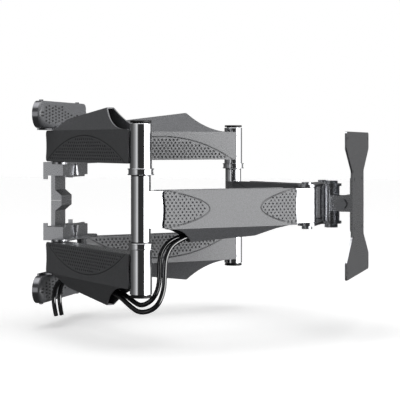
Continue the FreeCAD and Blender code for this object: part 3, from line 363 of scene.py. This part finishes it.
def lowered(profile):
    """The same profile below the middle, turned over."""
    return [(radius, -height) for radius, height in profile[::-1]]


for side in ("left", "right"):
    centre = joints[side + "_elbow"]
    sleeve = tube_profile(SLEEVE, POLE, RING_HIGH, SLEEVE_END, EDGE)
    chrome_parts = {
        f"upper_sleeve_{side}": (side + "_arm", [sleeve]),
        f"lower_sleeve_{side}": (side + "_arm", [lowered(sleeve)]),
        f"collar_rings_{side}": (side + "_arm", [ring_profile, lowered(ring_profile)]),
        f"forearm_tube_{side}": (side + "_forearm", [tube_profile(TUBE, BORE, -TUBE_HALF, TUBE_HALF, EDGE)]),
    }
    for node, (body, profiles) in chrome_parts.items():
        part = turned(node + "_chrome", profiles, centre, chrome)
        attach(part, body)
        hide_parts(node)

# ---------------------------------------------------------------- arm and forearm covers
# Shells injection moulded in satin grey ABS, 2 mm thick, that clip over the steel arms and hide the cables.
# The side faces carry a field of small moulded dimples inside a fine groove, and the roof leans in to a
# ridge. The spark-eroded grain of the tool is about 0.3 mm, too fine to show, so it is drawn about 1.5 mm
# coarse.
moulded_abs, tree, shader = new_material("abs_moulded_satin_grey", Roughness=0.42, IOR=1.5)
shader.inputs["Specular IOR Level"].default_value = 0.8
place = add_node(tree, "ShaderNodeTexCoord")
grain = add_node(tree, "ShaderNodeTexNoise", {"Vector": place.outputs["Object"], "Scale": 650.0,
                                              "Detail": 3.0})
cloud = add_node(tree, "ShaderNodeTexNoise", {"Vector": place.outputs["Object"], "Scale": 25.0,
                                              "Detail": 3.0})
plain = add_node(tree, "ShaderNodeMix", {"Factor": cloud.outputs["Fac"], "A": linear("#6a6b6e"),
                                         "B": linear("#737477")}, data_type="RGBA")
speck = add_node(tree, "ShaderNodeMapRange", {"Value": grain.outputs["Fac"], "From Min": 0.3, "From Max": 0.7,
                                             "To Min": 0.72, "To Max": 1.26})
grained = add_node(tree, "ShaderNodeVectorMath", {0: plain.outputs[2], 1: speck.outputs["Result"]},
                   operation="MULTIPLY")
# Painted shade: where the mesh attribute marks a dimple or the groove, the grey is mixed towards near black
# #060607 to stand in for the shade in those recesses.
painted_shade = add_node(tree, "ShaderNodeAttribute", attribute_name="painted_shade")
painted_shade_mix = add_node(tree, "ShaderNodeMix", {"Factor": painted_shade.outputs["Fac"], "A": grained.outputs["Vector"],
                                           "B": linear("#060607")}, data_type="RGBA")
rough = add_node(tree, "ShaderNodeMapRange", {"Value": grain.outputs["Fac"], "To Min": 0.34, "To Max": 0.5})
skin = add_node(tree, "ShaderNodeBump", {"Height": grain.outputs["Fac"], "Strength": 0.35,
                                         "Distance": 0.25 * MM})
tree.links.new(painted_shade_mix.outputs[2], shader.inputs["Base Color"])
tree.links.new(rough.outputs["Result"], shader.inputs["Roughness"])
tree.links.new(skin.outputs["Normal"], shader.inputs["Normal"])

WALL = 2.0
HALF_WIDTH = 18.0
CORNER = 5.0
SCALLOP = 1.8
SCALLOP_MARGIN = 7.0
FACE_STEP = 0.75
DIMPLE_DEPTH = 1.2
DIMPLE_EDGE = 0.5
GROOVE_DEPTH = 0.6
GROOVE_HALF = 1.1
END_STEP = 0.3
INNER_COLUMNS = 40
ROOF_STEP = 2.5
OUTER_ROWS, INNER_ROWS = 9, 3
CROWN = 0.4
RIDGE_HALF = 6.0
CAP_RAYS, CAP_RINGS = 120, 10


def dimples(x, z, radius, pitch, row, inside):
    """Depth share of a staggered lattice of round dimples: 1 within, falling to 0 over the last half
    millimetre of the radius, and only where the nearest centre is inside the field."""
    k = np.round(z / row)
    shift = pitch / 2 * (k % 2)
    cx = np.round((x - shift) / pitch) * pitch + shift
    cz = k * row
    share = np.clip((radius - np.hypot(x - cx, z - cz)) / DIMPLE_EDGE, 0, 1)
    return share * inside(cx, cz)


def end_offset(z, height):
    """How far an end edge stands back at a height: a shallow arc between margins, and quarter rounds at
    corners."""
    chord = height - 2 * SCALLOP_MARGIN
    radius = (chord ** 2 / 4 + SCALLOP ** 2) / (2 * SCALLOP)
    away = np.clip(np.abs(z - height / 2), 0, chord / 2)
    arc = np.sqrt(radius ** 2 - away ** 2) - (radius - SCALLOP)
    near = np.clip(CORNER - np.minimum(z, height - z), 0, CORNER)
    return np.maximum(arc, 0) + CORNER - np.sqrt(CORNER ** 2 - near ** 2)


def thick(outer, inner, first):
    """A closed shell between a fine outer grid and a coarse inner one of points. Each rim joins the two
    edges, and an inner point is shared where the outer edge has more."""
    a = first + np.arange(outer[..., 0].size).reshape(outer.shape[:2])
    b = first + a.size + np.arange(inner[..., 0].size).reshape(inner.shape[:2])
    faces = grid_faces(a).tolist() + grid_faces(b)[:, ::-1].tolist()
    rims = [(a[0], b[0]), (a[-1][::-1], b[-1][::-1]), (a[:, 0][::-1], b[:, 0][::-1]), (a[:, -1], b[:, -1])]
    for edge, far in rims:
        far = far[np.round(np.linspace(0, len(far) - 1, len(edge))).astype(int)]
        quads = np.stack([edge[:-1], edge[1:], far[1:], far[:-1]], -1).tolist()
        faces += [list(dict.fromkeys(quad)) for quad in quads]
    return np.concatenate([outer.reshape(-1, 3), inner.reshape(-1, 3)]), faces


def side_wall(start, end, height, sign, pattern):
    """Flat side: x runs from one end edge to the other, z from the free edge to the fold, y = half width less
    the pattern's depth; the inner face is a wall's thickness behind."""
    def surface(columns, rows, depth):
        x, z = np.meshgrid(columns, rows)
        back = end_offset(z, height)
        from_start, from_end = x - start, end - x
        reach = 4 * CORNER
        x = x + back * np.clip(1 - from_start / reach, 0, 1) - back * np.clip(1 - from_end / reach, 0, 1)
        # The pattern gives the depth sunk and the share of painted shade at each outer point; the inner face
        # gets none.
        sunk, painted_shade = pattern(x, z) if depth == 0 else (0 * x, 0 * x)
        return np.stack([x, sign * (HALF_WIDTH - depth - sunk), z], -1), painted_shade

    corner = CORNER * (1 - np.cos(np.linspace(0, math.pi / 2, 6)[:-1]))
    rows = np.concatenate([corner, np.arange(CORNER, height - CORNER, FACE_STEP), height - corner[::-1]])
    middle = np.arange(start + FACE_STEP, end - FACE_STEP, FACE_STEP)
    columns = np.concatenate([[start, start + END_STEP], middle, [end - END_STEP, end]])
    inner_rows = np.concatenate([corner, np.linspace(CORNER, height - CORNER, 7), height - corner[::-1]])
    outer, painted_shade = surface(columns, rows, 0)
    inner, hidden = surface(np.linspace(start, end, INNER_COLUMNS), inner_rows, WALL)
    return outer, inner, np.concatenate([painted_shade.ravel(), hidden.ravel()])


def leaning_wall(span, height, sign, rise, lean):
    """Roof side: z climbs from the fold by a share v of the rise at x, and y is the half width less the
    lean times the climb."""
    def surface(columns, rows, depth):
        x, v = np.meshgrid(columns, rows)
        climb = v * rise(x)
        return np.stack([x, sign * (HALF_WIDTH - depth - lean * climb), height + climb], -1)

    columns = np.arange(*span, ROOF_STEP)
    columns = np.append(columns[:-1], span[1])
    outer, inner = np.linspace(0, 1, OUTER_ROWS), np.linspace(0, 1, INNER_ROWS)
    return surface(columns, outer, 0), surface(columns, inner, WALL)


def ridge_wall(span, height, rise, lean):
    """Top strip: across from one leaning side to the other at the height of the rise, plus a crown that
    falls as the square of the distance from the middle."""
    def surface(columns, rows, depth):
        x, v = np.meshgrid(columns, rows)
        half = HALF_WIDTH - lean * rise(x)
        return np.stack([x, v * half, height + rise(x) + CROWN * (1 - v ** 2) - depth], -1)

    columns = np.linspace(*span, max(4, int((span[1] - span[0]) / ROOF_STEP)))
    outer, inner = np.linspace(1, -1, OUTER_ROWS), np.linspace(1, -1, INNER_ROWS)
    return surface(columns, outer, 0), surface(columns, inner, WALL)


def shoulder_cap(start, end, hole, height):
    """Closed strip over the shoulder pin: rays run from the strip's border in to a round hole, above and
    below. The height falls on a quarter round towards the start."""
    corners = [math.atan2(y, x) for x in (start, end) for y in (HALF_WIDTH, -HALF_WIDTH)]
    angle = np.sort(np.append(np.linspace(-math.pi, math.pi, CAP_RAYS, endpoint=False), corners))
    cosine, sine = np.cos(angle), np.sin(angle)
    border = np.minimum(np.where(cosine > 0, end, -start) / np.abs(cosine), HALF_WIDTH / np.abs(sine))
    share = np.linspace(0, 1, CAP_RINGS)[:, None]
    radius = np.concatenate([border + (hole - border) * share, hole + (border - hole) * share])
    x, y = radius * cosine, radius * sine
    near = np.clip(start + CORNER - x, 0, CORNER)
    fall = CORNER - np.sqrt(CORNER ** 2 - near ** 2)
    depth = np.repeat([0.0, WALL], len(share))[:, None]
    points = np.stack([x, y, height - fall - depth], -1)
    index = np.pad(np.arange(x.size).reshape(x.shape), ((0, 1), (0, 1)), mode="wrap")
    return points.reshape(-1, 3), grid_faces(index)[:, ::-1]


def cover_piece(name, start, end, height, pattern, rise, lean, roof_span, ridge_spans, place, flip, cap=None):
    """Joins both sides, the leaning roof sides and the ridge strips into one piece, and puts it in its
    place."""
    points, faces, painted_shades, count = [], [], [], 0
    parts = [(side_wall(start, end, height, sign, pattern), sign) for sign in (1, -1)]
    parts += [(leaning_wall(roof_span, height, sign, rise, lean), sign) for sign in (1, -1)]
    parts += [(ridge_wall(span, height, rise, lean), 1) for span in ridge_spans]
    for (outer, inner, *painted_shade), sign in parts:
        added, new = thick(outer, inner, count)
        faces += new if (sign > 0) != flip else [face[::-1] for face in new]
        points.append(added)
        # Each part's share of painted shade is collected, with none on roofs, ridges and the cap.
        painted_shades.append(painted_shade[0] if painted_shade else np.zeros(len(added)))
        count += len(added)
    if cap:
        added, new = shoulder_cap(*cap, height)
        new = new if not flip else new[:, ::-1]
        faces += (new + count).tolist()
        points.append(added)
        painted_shades.append(np.zeros(len(added)))
    return make_piece(name, place(np.concatenate(points)), faces, moulded_abs, painted_shade=np.concatenate(painted_shades))


ARM_FACE = 48.8
ARM_START, ARM_END = -15.0, 281.5
PIN_HOLE = 10.5
HIP = (14.0, 57.0, 17.5)
PEAK = (185.0, 32.5)
SCOOP = ((185.0, 32.5), (222.0, 8.8), (270.0, 0.0))
ARC_ENDS = (-12.0, 271.0)
ARC_TOP = 40.0
ARM_DIMPLE_RADIUS, ARM_DIMPLE_PITCH, ARM_DIMPLE_ROW = 1.75, 7.4, 4.9
ARC_MARGIN, ARM_EDGE_MARGIN = 3.2, 2.0


def circle_through(a, b, c):
    """Centre and radius of the circle through three points: equal distances give two lines that cross at
    it."""
    rows = 2 * np.array([np.subtract(b, a), np.subtract(c, a)])
    sums = [np.dot(b, b) - np.dot(a, a), np.dot(c, c) - np.dot(a, a)]
    centre = np.linalg.solve(rows, sums)
    return centre, np.hypot(*(centre - a))


scoop_centre, scoop_radius = circle_through(*[np.array(point) for point in SCOOP])
arc_points = ((ARC_ENDS[0], 0.0), (sum(ARC_ENDS) / 2, ARC_TOP), (ARC_ENDS[1], 0.0))
arc_centre, arc_radius = circle_through(*[np.array(point) for point in arc_points])


def arm_rise(x):
    """Roof height over the face: straight up the hip, straight on to the peak, then down a hollow arc."""
    straight = np.interp(x, [HIP[0], HIP[1], PEAK[0]], [0, HIP[2], PEAK[1]])
    drop = scoop_centre[1] - np.sqrt(np.maximum(scoop_radius ** 2 - (x - scoop_centre[0]) ** 2, 0))
    return np.where(x > PEAK[0], np.maximum(drop, 0), straight)


def arm_pattern(x, z):
    """Dimples under a round arc that springs from the face's lower corners, and a groove along the arc."""
    def inside(cx, cz):
        from_centre = np.hypot(cx - arc_centre[0], cz - arc_centre[1])
        return (from_centre < arc_radius - ARC_MARGIN) & (cz > ARM_EDGE_MARGIN)

    holes = dimples(x, z, ARM_DIMPLE_RADIUS, ARM_DIMPLE_PITCH, ARM_DIMPLE_ROW, inside)
    away = np.abs(np.hypot(x - arc_centre[0], z - arc_centre[1]) - arc_radius)
    groove = np.clip(1 - away / GROOVE_HALF, 0, 1)
    # The second value is the share of painted shade: dimples and groove are painted fully towards near black.
    return DIMPLE_DEPTH * holes + GROOVE_DEPTH * groove, np.maximum(holes, groove)


arm_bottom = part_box("upper_arm_cover_right")[0].z
for side, mirror in (("left", -1), ("right", 1)):
    for level, over in (("upper", 1), ("lower", -1)):
        node = f"{level}_arm_cover_{side}"
        shoulder = joints[side + "_shoulder"]

        def place_arm(local, mirror=mirror, over=over, shoulder=shoulder):
            """Local x along the arm, y across it and z up, mirrored to the side and the level."""
            world = MM * (local[:, :1] * ALONG + local[:, 1:2] * ACROSS + local[:, 2:] * UP)
            world[:, 2] += arm_bottom
            return world * (mirror, 1, over) + (shoulder[0], shoulder[1], 0)

        cover = cover_piece(node + "_shell", ARM_START, ARM_END, ARM_FACE, arm_pattern, arm_rise,
                            (HALF_WIDTH - RIDGE_HALF) / PEAK[1], (HIP[0], SCOOP[2][0]), [(HIP[1], PEAK[0])],
                            place_arm, mirror * over < 0, (ARM_START, HIP[0], PIN_HOLE))
        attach(cover, side + "_arm")
        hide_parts(node)

FOREARM_FACE = 55.0
FOREARM_START, FOREARM_END = 28.0, 254.5
FOREARM_TOP = 26.0
KEEL = ([78.0, 185.0, 218.0, 240.0, 254.5], [20.0, 14.0, 4.0, 0.0, 0.0])
MOUTH = ((33.0, 0.0), (58.0, 4.0), (78.0, 20.0))
LEAF_NEAR, LEAF_FAR = 102.0, 190.0
FOREARM_DIMPLE_RADIUS, FOREARM_DIMPLE_PITCH, FOREARM_DIMPLE_ROW = 1.2, 6.7, 4.5
LEAF_MARGIN, FOREARM_EDGE_MARGIN = 4.0, 3.0
DIMPLE_PAINTED_SHADE, GROOVE_PAINTED_SHADE = 0.6, 0.8
mouth_centre, mouth_radius = circle_through(*[np.array(point) for point in MOUTH])


def forearm_rise(x):
    """Depth of the keel under the face: a hollow arc at the cable mouth, then straight stretches to
    nothing."""
    arc = mouth_centre[1] - np.sqrt(np.maximum(mouth_radius ** 2 - (x - mouth_centre[0]) ** 2, 0))
    return np.where(x < MOUTH[2][0], np.maximum(arc, 0), np.interp(x, *KEEL))


def forearm_pattern(x, z):
    """A leaf of dimples at each end: inside a parabola whose tip lies at mid-height, with a groove along
    it."""
    middle = FOREARM_FACE / 2
    across = (z - middle) / middle
    near = LEAF_NEAR - (LEAF_NEAR - FOREARM_START) * across ** 2
    far = LEAF_FAR + (FOREARM_END - LEAF_FAR) * across ** 2

    def inside(cx, cz):
        share = ((cz - middle) / middle) ** 2
        in_near = cx < LEAF_NEAR - LEAF_MARGIN - (LEAF_NEAR - FOREARM_START) * share
        in_far = cx > LEAF_FAR + LEAF_MARGIN + (FOREARM_END - LEAF_FAR) * share
        return (in_near | in_far) & (cz > FOREARM_EDGE_MARGIN) & (cz < FOREARM_FACE - FOREARM_EDGE_MARGIN)

    holes = dimples(x, z, FOREARM_DIMPLE_RADIUS, FOREARM_DIMPLE_PITCH, FOREARM_DIMPLE_ROW, inside)
    slope = np.hypot(1, 2 * (LEAF_NEAR - FOREARM_START) * across / middle)
    away = np.minimum(np.abs(x - near), np.abs(x - far)) / slope
    groove = np.clip(1 - away / GROOVE_HALF, 0, 1)
    # Painted shade: dimples are painted 0.6 and the groove 0.8 of the way towards near black.
    shade = np.maximum(DIMPLE_PAINTED_SHADE * holes, GROOVE_PAINTED_SHADE * groove)
    return DIMPLE_DEPTH * holes + GROOVE_DEPTH * groove, shade


for side, mirror in (("left", -1), ("right", 1)):
    node = f"forearm_cover_{side}"
    elbow = joints[side + "_elbow"]

    def place_forearm(local, mirror=mirror, elbow=elbow):
        """Local x along the forearm from the elbow, y across it, and z down from the cover's free edge."""
        level_part = local[:, :1] * ALONG * (-1, 1, 1) + local[:, 1:2] * ACROSS * (1, -1, 1)
        world = MM * (level_part - local[:, 2:] * UP)
        world[:, 2] += FOREARM_TOP * MM
        return world * (mirror, 1, 1) + (elbow[0], elbow[1], 0)

    cover = cover_piece(node + "_shell", FOREARM_START, FOREARM_END, FOREARM_FACE, forearm_pattern,
                        forearm_rise, (HALF_WIDTH - RIDGE_HALF) / KEEL[1][0], (MOUTH[0][0], KEEL[0][3]),
                        [(KEEL[0][0], FOREARM_END)], place_forearm, mirror > 0)
    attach(cover, side + "_forearm")
    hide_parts(node)

# ---------------------------------------------------------------- rail covers
# Snap-on covers of the same satin ABS over the wall rails: a domed, dimpled paddle at one end that narrows
# through a swept step to a band along the rail.
RAIL_HALF, RAIL_MIDDLE, RAIL_HEIGHT = 106.0, 138.5, 43.0
RAIL_BACK, RAIL_FRONT, RAIL_CORNER = 9.5, 16.0, 9.0
ROUND_X = RAIL_HALF - RAIL_HEIGHT / 2


def rail_outline(count):
    """Points evenly spaced round the cover: a half circle at the left end, and corner rounds at the right."""
    half = RAIL_HEIGHT / 2
    path = []
    for x, z, radius, turn in [(RAIL_HALF, half, RAIL_CORNER, 0), (-RAIL_HALF, half, half, 90),
                               (-RAIL_HALF, -half, half, 180), (RAIL_HALF, -half, RAIL_CORNER, 270)]:
        angle = np.radians(turn + np.linspace(0, 90, 25))
        cx, cz = x - math.copysign(radius, x), z - math.copysign(radius, z)
        path.append(np.stack([cx + radius * np.cos(angle), cz + radius * np.sin(angle)], -1))
    path = np.concatenate(path + [path[0][:1]])
    distance = np.append(0, np.cumsum(np.hypot(*np.diff(path, axis=0).T)))
    even = np.linspace(0, distance[-1], count, endpoint=False)
    return np.stack([np.interp(even, distance, path[:, 0]), np.interp(even, distance, path[:, 1])], -1)


STEP_X = [-32, -22, -8, 10, 30, 48, 106]
STEP_Z = [30, 21, 15.5, 9.5, 5.5, 4.5, 4.5]
STEP_WIDTH, STEP_DEPTH = 3.0, 2.0
ROW_X, ROW_Z, DOT_LONG, DOT_HIGH = 28.0, 2.6, 4.6, 1.7
DOT_RIM, DOT_STEP_MARGIN, DOT_END_REACH, DOT_LAST_X = 0.25, 3.5, 15.5, 98.0


def rail_relief(x, z):
    """How far the front is sunk: nothing on the paddle and band, a smooth step above them, and long dimples
    in staggered rows on both. A dimple is an ellipse, and its depth falls to nothing over its outer
    quarter."""
    edge = np.interp(x, STEP_X, STEP_Z)
    step = np.clip((z - edge) / STEP_WIDTH, 0, 1)
    step = step * step * (3 - 2 * step)
    k = np.round(z / ROW_Z)
    shift = ROW_X / 2 * (k % 2)
    cx = np.round((x - shift) / ROW_X) * ROW_X + shift
    cz = k * ROW_Z
    share = np.clip((1 - np.hypot((x - cx) / DOT_LONG, (z - cz) / DOT_HIGH)) / DOT_RIM, 0, 1)
    rim = np.hypot(np.minimum(cx + ROUND_X, 0), cz)
    below_step = cz < np.interp(cx, STEP_X, STEP_Z) - DOT_STEP_MARGIN
    holes = share * (below_step & (rim < DOT_END_REACH) & (cx < DOT_LAST_X))
    # The second value is the dimples' share of painted shade, painted towards near black.
    return STEP_DEPTH * step + DIMPLE_DEPTH * holes, holes


OUTLINE_POINTS, ROUND_RINGS, FRONT_RINGS = 900, 16, 45
FRONT_WALL = 3.0


def rail_shell(name, over):
    """Rings from the outline in to the middle line: the back edge, a round that tightens from 11 mm on the
    paddle to 4 mm on the band, then the front with its relief. Two coarse rings behind them make the inner
    face."""
    outline = rail_outline(OUTLINE_POINTS)
    core = np.stack([np.clip(outline[:, 0], -ROUND_X, ROUND_X), np.zeros(len(outline))], -1)
    depth = np.hypot(*(outline - core).T)
    curve = np.interp(outline[:, 0], [-60, 10], [11.0, 4.0])
    turn = np.linspace(0, math.pi / 2, ROUND_RINGS)[:, None]
    run = np.linspace(0, 1, FRONT_RINGS + 1)[1:, None]
    insets = np.concatenate([curve * (1 - np.cos(turn)), curve + (depth - curve) * run])
    rounded = RAIL_BACK + (RAIL_FRONT - RAIL_BACK) * np.sin(turn)
    fronts = np.concatenate([rounded, np.full((FRONT_RINGS, 1), RAIL_FRONT)])
    share = np.minimum(insets / depth, 1)
    xz = outline * (1 - share[..., None]) + core * share[..., None]
    sunk, painted_shade = rail_relief(xz[..., 0], xz[..., 1])
    firm = np.clip((insets - 0.5) / 2.5, 0, 1)
    y = -(fronts - sunk * firm)
    outer = np.stack([xz[..., 0], y, xz[..., 1] + RAIL_MIDDLE], -1)
    inner_insets = np.array([WALL, WALL, depth.max()])
    share = np.minimum(inner_insets[:, None] / depth, 1)
    xz = outline * (1 - share[..., None]) + core * share[..., None]
    y = -np.array([RAIL_BACK, RAIL_FRONT - FRONT_WALL, RAIL_FRONT - FRONT_WALL])[:, None] + 0 * share
    inner = np.stack([xz[..., 0], y, xz[..., 1] + RAIL_MIDDLE], -1)
    shell = np.concatenate([outer[::-1], inner])
    # The painted shade in the dimples fades out with the relief towards the rounded edge; the inner face gets
    # none.
    painted_shades = np.concatenate([(painted_shade * firm)[::-1], np.zeros(inner.shape[:2])])
    index = np.arange(shell[..., 0].size).reshape(shell.shape[:2])
    index = np.pad(index, ((0, 0), (0, 1)), mode="wrap")
    faces = grid_faces(index)
    faces = faces if over > 0 else faces[:, ::-1]
    points = MM * shell.reshape(-1, 3) * (1, 1, over)
    return make_piece(name, points, faces.tolist(), moulded_abs, painted_shade=painted_shades.ravel())


for level, over in (("upper", 1), ("lower", -1)):
    cover = rail_shell(level + "_rail_cover_shell", over)
    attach(cover, "wall_side")
    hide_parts(level + "_rail_cover")

# ---------------------------------------------------------------- studio
# A white floor that keeps only a soft shadow, a white surround, and one large soft light almost overhead.
# What lights the mount and shows in the chrome is a ring of pale and dark panels, as in a product studio.
FLOOR_Z = -0.197
# Rolled matt paint, with a faint glow so that the floor stays as pale as the surround.
floor_paint, tree, shader = new_material("floor_paint_white", Roughness=0.8)
place = add_node(tree, "ShaderNodeTexCoord")
roller = add_node(tree, "ShaderNodeTexNoise", {"Vector": place.outputs["Object"], "Scale": 400.0})
shade = add_node(tree, "ShaderNodeMix", {"Factor": roller.outputs["Fac"], "A": linear("#f2f2f2"),
                                         "B": linear("#f8f8f8")}, data_type="RGBA")
tree.links.new(shade.outputs[2], shader.inputs["Base Color"])
shader.inputs["Emission Color"].default_value = (1.0, 1.0, 1.0, 1.0)
shader.inputs["Emission Strength"].default_value = 0.36
FLOOR_HALF = 9
floor_corners = [(x * FLOOR_HALF, y * FLOOR_HALF, FLOOR_Z) for x, y in ((-1, -1), (1, -1), (1, 1), (-1, 1))]
floor = make_piece("floor", np.array(floor_corners), [(0, 1, 2, 3)], floor_paint)
floor.visible_diffuse = False
floor.visible_glossy = False

# The ring's brightness by compass direction in degrees: 0 is the screen side, 90 the left and 180 the wall.
RING = [(-180, 0.01), (-110, 0.008), (-60, 0.02), (-30, 0.14), (-10, 0.38), (8, 0.8), (20, 1.0), (28, 0.9),
        (38, 0.004), (100, 0.004), (114, 0.1), (135, 0.04), (160, 0.015), (180, 0.01)]
RING_POWER = 9.0
world = bpy.data.worlds.new("studio")
bpy.context.scene.world = world
world.use_nodes = True
tree = world.node_tree
compass = add_node(tree, "ShaderNodeTexCoord")
parts = add_node(tree, "ShaderNodeSeparateXYZ", {"Vector": compass.outputs["Generated"]})
left = add_node(tree, "ShaderNodeMath", {0: parts.outputs["X"], 1: -1.0}, operation="MULTIPLY")
room = add_node(tree, "ShaderNodeMath", {0: parts.outputs["Y"], 1: -1.0}, operation="MULTIPLY")
turn = add_node(tree, "ShaderNodeMath", {0: left.outputs[0], 1: room.outputs[0]}, operation="ARCTAN2")
share = add_node(tree, "ShaderNodeMapRange", {"Value": turn.outputs[0], "From Min": -math.pi,
                                              "From Max": math.pi})
ring = add_node(tree, "ShaderNodeValToRGB", {"Fac": share.outputs["Result"]})
stops = ring.color_ramp.elements
for azimuth, value in RING:
    share = (azimuth + 180) / 360
    stop = stops[0] if share == 0 else stops[-1] if share == 1 else stops.new(share)
    stop.color = (value, value, value, 1.0)
sky = add_node(tree, "ShaderNodeMapRange", {"Value": parts.outputs["Z"], "From Min": 0.22, "From Max": 0.4})
low = add_node(tree, "ShaderNodeMapRange", {"Value": parts.outputs["Z"], "From Min": -0.18,
                                            "From Max": -0.35})
band = add_node(tree, "ShaderNodeVectorMath", {0: ring.outputs["Color"], "Scale": RING_POWER},
                operation="SCALE")
dome = add_node(tree, "ShaderNodeMapRange", {"Value": parts.outputs["Z"], "From Min": 0.7, "From Max": 0.9,
                                            "To Min": 0.12, "To Max": 1.5})
upper = add_node(tree, "ShaderNodeMix", {"Factor": sky.outputs["Result"], "A": band.outputs["Vector"],
                                        "B": dome.outputs["Result"]}, data_type="RGBA")
panels = add_node(tree, "ShaderNodeMix", {"Factor": low.outputs["Result"], "A": upper.outputs[2],
                                         "B": (0.06, 0.06, 0.06, 1.0)}, data_type="RGBA")
seen = add_node(tree, "ShaderNodeLightPath")
surround = add_node(tree, "ShaderNodeMix", {"Factor": seen.outputs["Is Camera Ray"], "A": panels.outputs[2],
                                           "B": (1.0, 1.0, 1.0, 1.0)}, data_type="RGBA")
tree.links.new(surround.outputs[2], tree.nodes["Background"].inputs["Color"])


def area_light(name, azimuth, elevation, distance, size, power):
    """A square soft light, aimed at the mount from a direction: azimuth 0 is from the room, 90 from the
    left."""
    data = bpy.data.lights.new(name, "AREA")
    data.size = size
    data.energy = power
    light = bpy.data.objects.new(name, data)
    a, e = math.radians(azimuth), math.radians(elevation)
    way = np.array([-math.sin(a) * math.cos(e), -math.cos(a) * math.cos(e), math.sin(e)])
    light.location = way * distance + (0, -0.25, 0)
    light.rotation_euler = (math.radians(90) - e, 0, -a)
    bpy.context.collection.objects.link(light)


area_light("overhead", 250, 80, 2.4, 1.4, 8)
